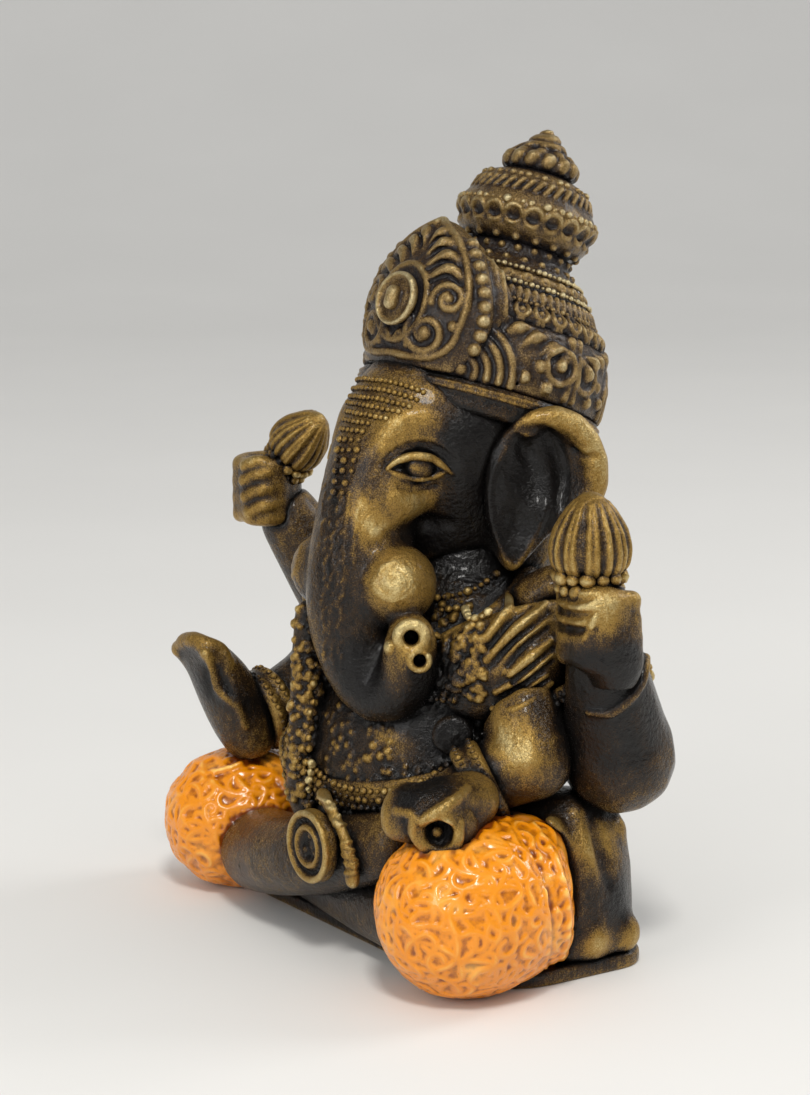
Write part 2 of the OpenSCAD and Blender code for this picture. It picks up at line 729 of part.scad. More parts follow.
// Every form by its name, for the right side the left one mirrored
module form(name) {
    if (name == "foot_plate") foot_plate_form();
    if (name == "crown_bands") crown_bands_form();
    if (name == "crown_drum") crown_drum_form();
    if (name == "crown_crest") crown_crest_form();
    if (name == "brow_band") brow_band_form();
    if (name == "left_eye") eye_form(1);
    if (name == "right_eye") eye_form(-1);
    if (name == "trunk") trunk_form();
    if (name == "left_tusk") tusk_form(1);
    if (name == "right_tusk") tusk_form(-1);
    if (name == "left_ear") ear_form(1);
    if (name == "right_ear") ear_form(-1);
    if (name == "head") head_form();
    if (name == "sweet") sweet_form();
    if (name == "left_bangles") bangles_form(left_wrist, left_wrist - elbow);
    if (name == "right_bangles") bangles_form(right_wrist, [0, -1, -0.3]);
    if (name == "rear_left_armlet") armlet_form(rear_shoulder, left_rear_elbow);
    if (name == "rear_right_armlet") armlet_form(other_side(rear_shoulder), right_rear_elbow);
    if (name == "left_bud_collar") bud_collar(left_bud_at, [0, 0, 1]);
    if (name == "left_bud") bud(left_bud_at, [0, 0, 1]);
    if (name == "right_bud_collar") bud_collar(right_bud_at, right_bud_way, right_bud_scale);
    if (name == "right_bud") bud(right_bud_at, right_bud_way, right_bud_scale);
    if (name == "left_palm_hand") left_palm_hand_form();
    if (name == "right_raised_hand") right_raised_hand_form();
    if (name == "rear_left_hand") rear_left_hand_form();
    if (name == "rear_right_hand") rear_right_hand_form();
    if (name == "medallion") medallion_form();
    if (name == "left_knee_cloth") knee_cloth_form(1);
    if (name == "right_knee_cloth") knee_cloth_form(-1);
    if (name == "sash_tail") sash_tail_form();
    if (name == "right_shin") right_shin_form();
    if (name == "left_shin") left_shin_form();
    if (name == "garland") garland_form();
    if (name == "belt_clasp") belt_clasp_form();
    if (name == "necklace") necklace_form();
    if (name == "left_shawl") shawl_form(1);
    if (name == "right_shawl") shawl_form(-1);
    if (name == "left_forearm") forearm_form(elbow, left_wrist);
    if (name == "right_forearm") forearm_form(other_side(elbow), right_wrist);
    if (name == "rear_left_forearm") forearm_form(left_rear_elbow, left_fist, rear_elbow_swell);
    if (name == "rear_right_forearm") forearm_form(right_rear_elbow, right_fist, 0.4);
    if (name == "left_upper_arm") upper_arm_form(shoulder, elbow);
    if (name == "right_upper_arm") upper_arm_form(other_side(shoulder), other_side(elbow));
    if (name == "rear_left_upper_arm")
        upper_arm_form(rear_shoulder, left_rear_elbow, rear_elbow_swell + 0.3);
    if (name == "rear_right_upper_arm")
        upper_arm_form(other_side(rear_shoulder), right_rear_elbow, 0.5);
    if (name == "belt") belt_form();
    if (name == "torso") torso_form();
    if (name == "left_haunch") haunch_form(1);
    if (name == "right_haunch") haunch_form(-1);
    if (name == "seat") seat_form();
}

function other_side(p) = [-p[0], p[1], p[2]];

// A part that gives way to the ones it meets, so that their faces lie together
module fitted(name, neighbours) {
    resize([0, 0, 0]) difference() {
        form(name);
        for (neighbour = neighbours) form(neighbour, $cutting = true);
    }
}

// --- nodes

module foot_plate() {
    color(black) form("foot_plate");
}

module finial_tip() {
    color(gilt) finial_tip_form();
}

module finial_beads() {
    color(gilt) finial_beads_form();
}

module finial_bowl() {
    color(black) finial_bowl_form();
}

module crown_beads() {
    color(gilt) crown_beads_form();
}

module crown_bands() {
    color(black) form("crown_bands");
}

module crown_drum() {
    color(black) form("crown_drum");
}

module crown_crest() {
    color(gilt) form("crown_crest");
}

module crown_jewel() {
    color(gilt) crown_jewel_form();
}

module brow_band() {
    color(gilt) form("brow_band");
}

module left_eye() {
    color(gilt) form("left_eye");
}

module right_eye() {
    color(gilt) form("right_eye");
}

module torso() {
    color(black) fitted("torso", []);
}

module trunk() {
    color(black) fitted("trunk", ["brow_band", "left_eye", "right_eye", "torso"]);
}

module left_tusk() {
    color(gilt) fitted("left_tusk", ["trunk"]);
}

module right_tusk() {
    color(gilt) fitted("right_tusk", ["trunk"]);
}

module left_ear() {
    color(gilt) fitted("left_ear", ["brow_band"]);
}

module right_ear() {
    color(gilt) fitted("right_ear", ["brow_band"]);
}

module head() {
    color(black) fitted("head", [
        "crown_drum", "brow_band", "left_eye", "right_eye", "torso", "trunk", "left_ear",
        "right_ear"
    ]);
}

module sweet() {
    color(gilt) form("sweet");
}

module left_bangles() {
    color(gilt) form("left_bangles");
}

module right_bangles() {
    color(gilt) form("right_bangles");
}

module rear_left_armlet() {
    color(gilt) form("rear_left_armlet");
}

module rear_right_armlet() {
    color(gilt) form("rear_right_armlet");
}

module left_bud_collar() {
    color(gilt) form("left_bud_collar");
}

module left_bud() {
    color(gilt) form("left_bud");
}

module right_bud_collar() {
    color(gilt) form("right_bud_collar");
}

module right_bud() {
    color(gilt) form("right_bud");
}

module left_palm_hand() {
    color(gilt) fitted("left_palm_hand", ["sweet", "left_bangles"]);
}

module right_raised_hand() {
    color(gilt) fitted("right_raised_hand", ["right_bangles"]);
}

module rear_left_hand() {
    color(gilt) fitted("rear_left_hand", []);
}

module rear_right_hand() {
    color(gilt) fitted("rear_right_hand", []);
}

module medallion() {
    color(gilt) form("medallion");
}

module left_knee_cloth() {
    color(orange) fitted("left_knee_cloth", [
        "foot_plate", "torso", "left_bangles", "left_palm_hand"
    ]);
}

module right_knee_cloth() {
    color(orange) fitted("right_knee_cloth", ["foot_plate"]);
}

module sash_tail() {
    color(gilt) fitted("sash_tail", []);
}

module right_shin() {
    color(black) fitted("right_shin", [
        "torso", "medallion", "left_knee_cloth", "right_knee_cloth"
    ]);
}

module left_shin() {
    color(black) fitted("left_shin", [
        "foot_plate", "torso", "left_knee_cloth", "right_knee_cloth", "right_shin"
    ]);
}

module garland() {
    color(gilt) fitted("garland", ["torso"]);
}

module belt_clasp() {
    color(gilt) form("belt_clasp");
}

module necklace() {
    color(gilt) fitted("necklace", ["torso", "trunk", "head"]);
}

module left_shawl() {
    color(black) fitted("left_shawl", ["torso", "trunk"]);
}

module right_shawl() {
    color(black) fitted("right_shawl", ["torso", "rear_right_armlet"]);
}

module left_forearm() {
    color(black) fitted("left_forearm", ["left_palm_hand"]);
}

module right_forearm() {
    color(black) fitted("right_forearm", ["right_raised_hand"]);
}

module rear_left_forearm() {
    color(black) fitted("rear_left_forearm", ["rear_left_armlet", "rear_left_hand"]);
}

module rear_right_forearm() {
    color(black) fitted("rear_right_forearm", [
        "rear_right_armlet", "rear_right_hand", "right_shawl"
    ]);
}

module left_upper_arm() {
    color(black) fitted("left_upper_arm", [
        "torso", "rear_left_armlet", "left_shawl", "left_forearm", "rear_left_forearm"
    ]);
}

module right_upper_arm() {
    color(black) fitted("right_upper_arm", [
        "torso", "rear_right_armlet", "right_shawl", "right_forearm", "rear_right_forearm"
    ]);
}

module rear_left_upper_arm() {
    color(black) fitted("rear_left_upper_arm", [
        "torso", "necklace", "left_shawl", "rear_left_forearm", "left_upper_arm"
    ]);
}

module rear_right_upper_arm() {
    color(black) fitted("rear_right_upper_arm", [
        "torso", "necklace", "right_shawl", "rear_right_forearm", "right_upper_arm"
    ]);
}

module belt() {
    color(gilt) fitted("belt", ["torso", "garland", "left_forearm"]);
}

module left_haunch() {
    color(black) fitted("left_haunch", ["torso", "left_knee_cloth"]);
}

module right_haunch() {
    color(black) fitted("right_haunch", ["torso", "right_knee_cloth"]);
}

module seat() {
    color(black) fitted("seat", ["torso", "left_shin"]);
}

foot_plate();
finial_tip();
finial_beads();
finial_bowl();
crown_beads();
crown_bands();
crown_drum();
crown_crest();
crown_jewel();
brow_band();
left_eye();
right_eye();
torso();
trunk();
left_tusk();
right_tusk();
left_ear();
right_ear();
head();
sweet();
left_bangles();
right_bangles();
rear_left_armlet();
rear_right_armlet();
left_bud_collar();
left_bud();
right_bud_collar();
right_bud();
left_palm_hand();
right_raised_hand();
rear_left_hand();
rear_right_hand();
medallion();
left_knee_cloth();
right_knee_cloth();
sash_tail();
right_shin();
left_shin();
garland();
belt_clasp();
necklace();
left_shawl();
right_shawl();
left_forearm();
right_forearm();
rear_left_forearm();
rear_right_forearm();
left_upper_arm();
right_upper_arm();
rear_left_upper_arm();
rear_right_upper_arm();
belt();
left_haunch();
right_haunch();
seat();
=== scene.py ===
# %% [markdown]
# A seated four-armed Ganesha, cast in one piece and painted: black lacquer, gold rubbed over what
# stands proud, two orange knees. The CAD nodes give each form its place and size, in metres once
# loaded. This lesson turns each of them into a sculpted, rounded and painted piece.

# %% The frame
import math
import bpy
import numpy as np
import openvdb as vdb
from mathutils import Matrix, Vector


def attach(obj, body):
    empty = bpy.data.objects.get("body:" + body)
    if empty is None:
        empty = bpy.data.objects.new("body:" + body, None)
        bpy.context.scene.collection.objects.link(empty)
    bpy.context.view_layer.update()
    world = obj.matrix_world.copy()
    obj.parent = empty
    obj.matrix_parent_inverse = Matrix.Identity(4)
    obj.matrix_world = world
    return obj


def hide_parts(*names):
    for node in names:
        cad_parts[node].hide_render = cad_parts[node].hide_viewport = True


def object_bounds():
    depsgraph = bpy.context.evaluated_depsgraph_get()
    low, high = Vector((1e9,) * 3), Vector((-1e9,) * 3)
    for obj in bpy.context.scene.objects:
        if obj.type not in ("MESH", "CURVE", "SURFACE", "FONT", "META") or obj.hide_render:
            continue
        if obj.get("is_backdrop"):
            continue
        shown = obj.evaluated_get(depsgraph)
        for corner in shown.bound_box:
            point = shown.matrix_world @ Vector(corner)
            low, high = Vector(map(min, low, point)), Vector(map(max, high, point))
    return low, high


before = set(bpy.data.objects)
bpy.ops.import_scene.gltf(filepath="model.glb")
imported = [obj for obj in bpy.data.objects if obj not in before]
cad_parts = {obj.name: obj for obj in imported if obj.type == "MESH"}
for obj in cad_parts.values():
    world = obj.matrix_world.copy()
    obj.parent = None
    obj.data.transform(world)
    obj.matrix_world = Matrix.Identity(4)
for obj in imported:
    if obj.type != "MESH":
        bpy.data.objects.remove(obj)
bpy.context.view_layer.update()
print("nodes:", len(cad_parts))

# %% [markdown]
# The figure was modelled in clay before it was cast, so it is modelled in clay here. A block of
# clay is a grid of grains, and each grain knows how far it lies from the surface, below zero
# inside. Adding, cutting and smoothing are then sums on that grid, and no seam or crack can come
# up, as they can when meshes are joined. OpenVDB, which comes with Blender, turns a mesh into such
# a grid and back.

# %% Meshes and grids
MM = 0.001
GRAIN = 0.16
REACH = 12          # grains on each side of the surface that know their distance
FAR = REACH * GRAIN


def node_mesh(name):
    """Corners in millimetres and triangles of a node, whose loose triangles are joined first."""
    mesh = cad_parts[name].data
    mesh.calc_loop_triangles()
    corners = np.empty(len(mesh.vertices) * 3, np.float32)
    mesh.vertices.foreach_get("co", corners)
    triangles = np.empty(len(mesh.loop_triangles) * 3, np.int32)
    mesh.loop_triangles.foreach_get("vertices", triangles)
    microns = np.round(corners.reshape(-1, 3) / MM * 1000).astype(np.int64)
    joined, index = np.unique(microns, axis=0, return_inverse=True)
    return (joined / 1000).astype(np.float32), index.reshape(-1)[triangles].reshape(-1, 3)


def blurred(field, width, grain, reach):
    """A field on a grid of grains, blurred with a Gaussian of some width along each axis."""
    sigma = width / grain
    span = int(math.ceil(reach * sigma))
    weights = np.exp(-0.5 * (np.arange(-span, span + 1) / sigma) ** 2)
    weights = (weights / weights.sum()).astype(np.float32)
    for axis in range(3):
        edges = [(0, 0)] * 3
        edges[axis] = (span, span)
        wide = np.pad(field, edges, mode="edge")
        length = field.shape[axis]
        field = np.zeros_like(field)
        for step, weight in enumerate(weights):
            part = [slice(None)] * 3
            part[axis] = slice(step, step + length)
            field += weight * wide[tuple(part)]
    return field


def unit(way):
    """A direction with the length one."""
    return np.array(way) / np.linalg.norm(way)


def sample(field, place):
    """A field read at places between its grains."""
    place = np.clip(place, 0, np.array(field.shape) - 1.001)
    cell = place.astype(int)
    part = place - cell
    value = 0
    for corner in np.ndindex(2, 2, 2):
        share = np.prod(np.where(corner, part, 1 - part), axis=1)
        i, j, k = (cell + corner).T
        value = value + share * field[i, j, k]
    return value


print("grain of the clay:", GRAIN, "mm")

# %% [markdown]
# A block of clay takes in meshes, is softened and swollen, and says how deep a point lies in it.
# Points can be snapped to its surface or dropped on it. Rolls of clay along strokes are blended
# in over a chosen width, and grooves are the same sum with the signs turned round.

# %% The clay
SNAPS, DROPS = 5, 60        # steps that bring a point to the surface


class Clay:
    """A block of clay around a box, as distances to its surface, in millimetres."""

    def __init__(self, low, high, margin=1.6):
        self.start = np.floor((np.array(low) - margin) / GRAIN / 2).astype(int) * 2
        end = np.ceil((np.array(high) + margin) / GRAIN / 2).astype(int) * 2
        self.depth = np.full(tuple(end - self.start + 1), FAR, np.float32)

    def lay_on(self, corners, triangles):
        """Adds a closed mesh to the clay."""
        grid = vdb.FloatGrid.createLevelSetFromPolygons(
            np.ascontiguousarray(corners, np.float32),
            triangles=np.ascontiguousarray(triangles, np.uint32),
            transform=vdb.createLinearTransform(GRAIN), halfWidth=REACH)
        layer = np.empty(self.depth.shape, np.float32)
        grid.copyToArray(layer, ijk=tuple(int(i) for i in self.start))
        np.minimum(self.depth, layer, out=self.depth)

    def soften(self, width):
        """Rounds edges and hollows of about this width."""
        self.depth = blurred(self.depth, width, GRAIN, 2.6)

    def swell(self, amount):
        """Moves the whole surface out by an amount, or in where it is below zero."""
        self.depth -= amount

    def read(self, points):
        """The depth at any points."""
        return sample(self.depth, np.asarray(points, float) / GRAIN - self.start)

    def normal(self, points):
        """The way out of the surface at any points."""
        slope = np.stack([self.read(points + step) - self.read(points - step)
                          for step in np.eye(3) * GRAIN], axis=1)
        return slope / np.maximum(np.linalg.norm(slope, axis=1, keepdims=True), 1e-9)

    def snap(self, points, lift=0.0):
        """The nearest points on the surface, lifted off it by some amount."""
        points = np.array(points, float)
        for _ in range(SNAPS):
            points = points - (self.read(points) - lift)[:, None] * self.normal(points)
        return points

    def drop(self, points, way, lift=0.0):
        """Points moved along a direction until they meet the surface."""
        points = np.array(points, float)
        way = np.array(way, float) / np.linalg.norm(way, axis=-1, keepdims=True)
        for _ in range(DROPS):
            points = points + np.maximum(self.read(points) - max(lift, 0), 0)[:, None] * way
        return points + min(lift, 0) * self.normal(points)

    def trace(self, strokes, room=1.0):
        """Distance to the nearest of many strokes: points, and a radius or radii along them."""
        near = np.full(self.depth.shape, FAR, np.float32)
        last = np.array(near.shape)
        for points, radii in strokes:
            points = np.asarray(points, float)
            radii = np.atleast_1d(radii)
            radii = np.interp(np.linspace(0, 1, len(points)), np.linspace(0, 1, len(radii)), radii)
            pairs = zip(points[:-1], points[1:], radii[:-1], radii[1:])
            if len(points) == 1:
                pairs = [(points[0], points[0], radii[0], radii[0])]
            for a, b, ra, rb in pairs:
                grow = max(ra, rb) + room
                low = np.floor((np.minimum(a, b) - grow) / GRAIN).astype(int) - self.start
                high = np.ceil((np.maximum(a, b) + grow) / GRAIN).astype(int) - self.start + 1
                low, high = np.clip(low, 0, last), np.clip(high, 0, last)
                if np.any(high <= low):
                    continue
                x, y, z = np.ix_(*(((np.arange(low[k], high[k]) + self.start[k]) * GRAIN - a[k])
                                   .astype(np.float32) for k in range(3)))
                run = (b - a).astype(np.float32)
                along = (x * run[0] + y * run[1] + z * run[2]) / max(float(run @ run), 1e-9)
                along = np.clip(along, 0, 1)
                away = np.sqrt((x - along * run[0]) ** 2 + (y - along * run[1]) ** 2
                               + (z - along * run[2]) ** 2) - (ra + (rb - ra) * along)
                part = near[low[0]:high[0], low[1]:high[1], low[2]:high[2]]
                np.minimum(part, away, out=part)
        return near

    def ridges(self, strokes, blend=0.3, way=1):
        """Adds rolls of clay along the strokes, blended into the surface, or cuts them."""
        depth, near = way * self.depth, self.trace(strokes, room=blend + 0.5)
        overlap = np.maximum(blend - np.abs(depth - near), 0) / blend
        self.depth = way * (np.minimum(depth, near) - overlap ** 2 * blend / 4)

    def grooves(self, strokes, blend=0.3):
        """Cuts along the strokes, with soft edges."""
        self.ridges(strokes, blend, way=-1)


def block(*names, width=0.5, skin=0.2):
    """The clay of some nodes, softened, with a skin that laps over its neighbours."""
    meshes = [node_mesh(name) for name in names]
    low = np.min([corners.min(0) for corners, _ in meshes], axis=0)
    high = np.max([corners.max(0) for corners, _ in meshes], axis=0)
    clay = Clay(low, high)
    clay.nodes = names
    for corners, triangles in meshes:
        clay.lay_on(corners, triangles)
    clay.soften(width)
    clay.swell(skin)
    return clay


print("clay round the seat:", block("seat").depth.shape, "grains")

# %% [markdown]
# The paint comes first, because every piece is handed its paint as it is made. Its nodes are
# written as sums of Python values, so that a rule for wear can be read as one line.

# %% Words for node trees
class Value:
    """A socket that can be added, taken off and multiplied, so that node sums read as sums."""

    def __init__(self, graph, socket):
        self.graph, self.socket = graph, socket

    def math(self, operation, other, swap=False):
        a, b = (other, self) if swap else (self, other)
        return self.graph.node("Math", {"operation": operation}, {0: a, 1: b})["Value"]

    def __add__(self, other):
        return self.math("ADD", other)

    def __sub__(self, other):
        return self.math("SUBTRACT", other)

    def __rsub__(self, other):
        return self.math("SUBTRACT", other, swap=True)

    def __mul__(self, other):
        return self.math("MULTIPLY", other)

    __radd__ = __add__
    __rmul__ = __mul__


class Graph:
    """The node tree of a finish, of the beads or of the sky."""

    def __init__(self, tree):
        self.tree = tree
        tree.nodes.clear()

    def node(self, kind, settings=None, sockets=None):
        """A node of a type, its settings set before its sockets. Gives its outputs by name."""
        made = self.tree.nodes.new(kind if "Node" in kind else "ShaderNode" + kind)
        for setting, value in (settings or {}).items():
            setattr(made, setting, value)
        for socket, value in (sockets or {}).items():
            if isinstance(value, Value):
                self.tree.links.new(value.socket, made.inputs[socket])
            else:
                made.inputs[socket].default_value = value
        return {out.name: Value(self, out) for out in made.outputs if out.enabled}

    def attribute(self, name):
        return self.node("Attribute", {"attribute_name": name})["Fac"]

    def step(self, value, low, high):
        """0 below low, 1 above high and smooth between them."""
        return self.node("MapRange", {"interpolation_type": "SMOOTHSTEP"},
                         {"Value": value, "From Min": low, "From Max": high})["Result"]

    def noise(self, size, detail=2.0, stretch=(1, 1, 1)):
        """Noise whose lumps are about this many millimetres across."""
        place = self.node("TexCoord")["Object"]
        place = self.node("Mapping", {}, {"Vector": place, "Scale": stretch})["Vector"]
        return self.node("TexNoise", {}, {"Vector": place, "Scale": 1 / (size * MM),
                                          "Detail": detail})["Fac"]

    def mix(self, share, one, other):
        """From one colour to another."""
        return self.node("Mix", {"data_type": "RGBA"},
                         {"Factor": share, "A": one, "B": other})["Result"]

    def finish(self, **sockets):
        """The glossy surface that all these paints are."""
        names = {name.replace("_", " ").title().replace("Ior", "IOR"): value
                 for name, value in sockets.items()}
        surface = self.node("BsdfPrincipled", {}, names)["BSDF"]
        self.node("OutputMaterial", {}, {"Surface": surface})


def new_paint(name):
    """A material and the graph of its nodes, still empty."""
    paint = bpy.data.materials.new(name)
    paint.use_nodes = True
    return paint, Graph(paint.node_tree)


def colour(code):
    """A colour written as on a screen, such as 8a6f35, as the numbers that a shader takes."""
    parts = [int(code[i:i + 2], 16) / 255 for i in (0, 2, 4)]
    return tuple(p / 12.92 if p < 0.04045 else ((p + 0.055) / 1.055) ** 2.4 for p in parts) + (1.0,)


# %% [markdown]
# The lacquer is black and glossy. Gold was rubbed on with an almost dry brush, so it holds only on
# what stands proud and leaves the hollows black, and it is painted paler where it stands out most,
# a painted highlight. Two numbers on each point of a piece say how proud and how hollow it lies,
# the first with dabs of painted highlight and painted shadow added in, and noise breaks the edge
# between gold and black as bristles do.

# %% Gold rubbed over black, with a painted highlight
def patina(name, gold="a17f3e", pale_highlight="dcc88f", lacquer="0f0d0c", brown="362614", shift=0.0):
    """Black lacquer with gold rubbed over whatever stands out, and pale gold as a painted highlight
    where it stands out most.
    """
    paint, graph = new_paint(name)
    proud_and_painted_light = graph.attribute("proud_and_painted_light")
    bristles = graph.noise(0.13, 3.0)
    smears = graph.noise(0.7, 3.0, (1, 1, 0.6))
    patches = graph.noise(3.0, 2.0)
    # The raised value read here also holds dabs of painted highlight and painted shadow.
    rubbed_and_painted_light = proud_and_painted_light + (bristles - 0.5) * 0.9 + (smears - 0.5) * 0.5 + (patches - 0.5) * 0.35 + shift
    gold_and_painted_highlight = graph.step(rubbed_and_painted_light, 0.45, 1.0)
    under = graph.mix(graph.step(rubbed_and_painted_light, 0.15, 0.6), colour(lacquer), colour(brown))
    # Pale gold on the most raised points is a painted highlight.
    gilt_and_highlight = graph.mix(graph.step(rubbed_and_painted_light, 0.85, 1.5), colour(gold), colour(pale_highlight))
    height = bristles * 0.7 + graph.noise(0.45, 2.0) * 1.5 + graph.noise(1.3, 2.0) * 1.2
    bump = graph.node("Bump", {}, {"Height": height, "Strength": 0.8, "Distance": 0.13 * MM})
    graph.finish(base_color=graph.mix(gold_and_painted_highlight, under, gilt_and_highlight),
                 roughness=0.23 + gold_and_painted_highlight * 0.15 + (bristles - 0.5) * 0.25,
                 metallic=gold_and_painted_highlight * 0.8, normal=bump["Normal"],
                 specular_ior_level=0.28, coat_weight=0.1, coat_roughness=0.05)
    return paint


# %% [markdown]
# The knees are painted orange. The enamel is darker brown in the hollows between the curls, and a
# painted highlight makes it pale on top of them and in scattered patches.

# %% Orange enamel
def enamel(name, orange="e88c07", deep="7d3803", glint="ffd06c"):
    """Orange enamel, brown in its hollows, with a painted highlight that is pale on its ridges and
    in patches.
    """
    paint, graph = new_paint(name)
    hollow = graph.attribute("hollow")
    grain = graph.noise(0.4, 3.0)
    run = graph.step(hollow + (grain - 0.5) * 0.12, -0.02, 0.13)
    tone = graph.mix(run, colour(orange), colour(deep))
    # Pale on the tops of the curls and in random patches: painted highlight.
    tone = graph.mix(graph.step(0.0 - hollow, 0.05, 0.2), tone, colour(glint))
    tone = graph.mix(graph.step(graph.noise(3.5, 2.0), 0.5, 0.75) * 0.3, tone, colour(glint))
    bump = graph.node("Bump", {}, {"Height": grain, "Strength": 0.4, "Distance": 0.06 * MM})
    graph.finish(base_color=tone, roughness=0.3 + (grain - 0.5) * 0.15, normal=bump["Normal"],
                 coat_weight=0.35, coat_roughness=0.14)
    return paint


FINISHES = {
    "dark_patina": patina("dark_patina", shift=-0.12),
    "gilt_patina": patina("gilt_patina", shift=0.02),
    "crown_patina": patina("crown_patina", gold="94794a", pale_highlight="d9c99c", lacquer="1d1a1b"),
    "plate_patina": patina("plate_patina", shift=-0.3),
    "orange_enamel": enamel("orange_enamel"),
}
print("finishes:", ", ".join(FINISHES))

# %% [markdown]
# Rows of beads run over the forehead, the crown, the belt and the bracelets. Each row is a path
# on the clay, and Geometry Nodes strings beads of a few dozen faces along it: the paths become
# curves, the curves give evenly spaced points, and each point gets a bead whose size varies a
# little, as beads pressed by hand do.

# %% The bead tree
BEAD_SEGMENTS, BEAD_RINGS = 8, 6


def bead_tree():
    """Strings beads on the paths it is given."""
    graph = Graph(bpy.data.node_groups.new("beads_on_paths", "GeometryNodeTree"))
    add = graph.tree.interface.new_socket
    for name, kind in (("Geometry", "Geometry"), ("Spacing", "Float"), ("Radius", "Float"),
                       ("Unevenness", "Float"), ("Seed", "Int"), ("Paint", "Material")):
        add(name, in_out="INPUT", socket_type="NodeSocket" + kind)
    add("Geometry", in_out="OUTPUT", socket_type="NodeSocketGeometry")

    def node(kind, settings=None, **sockets):
        return graph.node("GeometryNode" + kind, settings, sockets)

    given = graph.node("NodeGroupInput")
    paths = node("MeshToCurve", Mesh=given["Geometry"])
    points = node("CurveToPoints", {"mode": "LENGTH"}, Curve=paths["Curve"],
                  Length=given["Spacing"])
    bead = node("MeshUVSphere", Segments=BEAD_SEGMENTS, Rings=BEAD_RINGS, Radius=1.0)
    vary = graph.node("FunctionNodeRandomValue", {"data_type": "FLOAT"}, {
        2: 1 - given["Unevenness"], 3: 1 + given["Unevenness"], "Seed": given["Seed"]})
    size = vary["Value"] * given["Radius"]
    scale = graph.node("CombineXYZ", {}, {axis: size for axis in "XYZ"})
    strung = node("InstanceOnPoints", Points=points["Points"], Instance=bead["Mesh"],
                  Rotation=points["Rotation"], Scale=scale["Vector"])
    real = node("RealizeInstances", Geometry=strung["Instances"])
    smooth = node("SetShadeSmooth", Geometry=real["Geometry"])
    painted = node("SetMaterial", Geometry=smooth["Geometry"], Material=given["Paint"])
    graph.node("NodeGroupOutput", {}, {"Geometry": painted["Geometry"]})
    return graph.tree


BEAD_TREE = bead_tree()
BEAD_INPUTS = {item.name: item.identifier for item in BEAD_TREE.interface.items_tree
               if item.in_out == "INPUT"}
pieces = {}
print("inputs of the bead tree:", ", ".join(BEAD_INPUTS))


def placed(name, data):
    """A new object in the scene, holding some data."""
    made = bpy.data.objects.new(name, data)
    bpy.context.scene.collection.objects.link(made)
    return made


def take_in(name, mesh, nodes=()):
    """Makes a mesh a piece that stands for its nodes, tells the frame and remembers it."""
    piece = placed(name, mesh)
    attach(piece, "root")
    if nodes:
        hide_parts(*nodes)
    pieces[name] = piece


def string_beads(name, paths, radius, spacing, slot="gilt_patina", nodes=(), uneven=0.1):
    """Strings beads along paths, all in millimetres."""
    paths = [path for path in paths if len(path) > 1]
    points = np.concatenate(paths) * MM
    starts = np.cumsum([0] + [len(path) for path in paths])
    edges = [(i, i + 1) for a, b in zip(starts, starts[1:]) for i in range(a, b - 1)]
    mesh = bpy.data.meshes.new(name)
    mesh.from_pydata(points.tolist(), edges, [])
    thread = placed(name + "_thread", mesh)
    modifier = thread.modifiers.new("beads", "NODES")
    modifier.node_group = BEAD_TREE
    values = {"Spacing": spacing * MM, "Radius": radius * MM, "Unevenness": uneven, "Seed": 7,
              "Paint": FINISHES[slot]}
    for label, value in values.items():
        modifier[BEAD_INPUTS[label]] = value
    graph = bpy.context.evaluated_depsgraph_get()
    beads = bpy.data.meshes.new_from_object(thread.evaluated_get(graph))
    bpy.data.objects.remove(thread)
    beads.name = name
    take_in(name, beads, nodes)
    print(f"{name}: {len(beads.polygons) // (BEAD_SEGMENTS * BEAD_RINGS)} beads")


# %% [markdown]
# A finished block of clay is cast as a mesh. Each cast is also noted in one coarse grid of the
# whole figure, which says how full the space is around any point. The gold will need that.

# %% Casting a piece
WEAR = 2 * GRAIN
low, high = (np.array(corner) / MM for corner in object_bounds())
wear_start = np.floor((low - 2) / WEAR).astype(int)
fullness = np.zeros(tuple(np.ceil((high + 2) / WEAR).astype(int) - wear_start + 1), np.float32)


def fill_in(clay):
    """Marks the space that a piece of clay takes."""
    solid = np.clip(0.5 - clay.depth[::2, ::2, ::2] / WEAR, 0, 1)
    first = clay.start // 2 - wear_start
    low = np.maximum(first, 0)
    high = np.minimum(first + solid.shape, fullness.shape)
    part = fullness[tuple(slice(a, b) for a, b in zip(low, high))]
    np.maximum(part, solid[tuple(slice(a, b) for a, b in zip(low - first, high - first))], out=part)


def cast(clay, slot="dark_patina", name=None):
    """Turns clay into a mesh piece that stands for the nodes it was made from."""
    name = name or clay.nodes[0]
    grid = vdb.FloatGrid(FAR)
    grid.transform = vdb.createLinearTransform(GRAIN)
    grid.copyFromArray(clay.depth, ijk=tuple(int(i) for i in clay.start))
    corners, triangles, quads = grid.convertToPolygons(isovalue=0, adaptivity=0.02)
    faces = np.concatenate([triangles.reshape(-1), quads.reshape(-1)]).astype(np.int32)
    sizes = np.concatenate([np.full(len(triangles), 3), np.full(len(quads), 4)])
    mesh = bpy.data.meshes.new(name)
    mesh.vertices.add(len(corners))
    mesh.vertices.foreach_set("co", (corners * MM).astype(np.float32).reshape(-1))
    mesh.loops.add(len(faces))
    mesh.loops.foreach_set("vertex_index", faces)
    mesh.polygons.add(len(sizes))
    mesh.polygons.foreach_set("loop_start", (np.cumsum(sizes) - sizes).astype(np.int32))
    mesh.update(calc_edges=True)
    mesh.shade_smooth()
    mesh.materials.append(FINISHES[slot])
    take_in(name, mesh, clay.nodes)
    fill_in(clay)
    print(f"{name}: {len(sizes)} faces")


# %% [markdown]
# Every line on the figure is a stroke: a few points that a smooth curve runs through, with a
# radius. Arcs, curls and circles follow a rule instead.

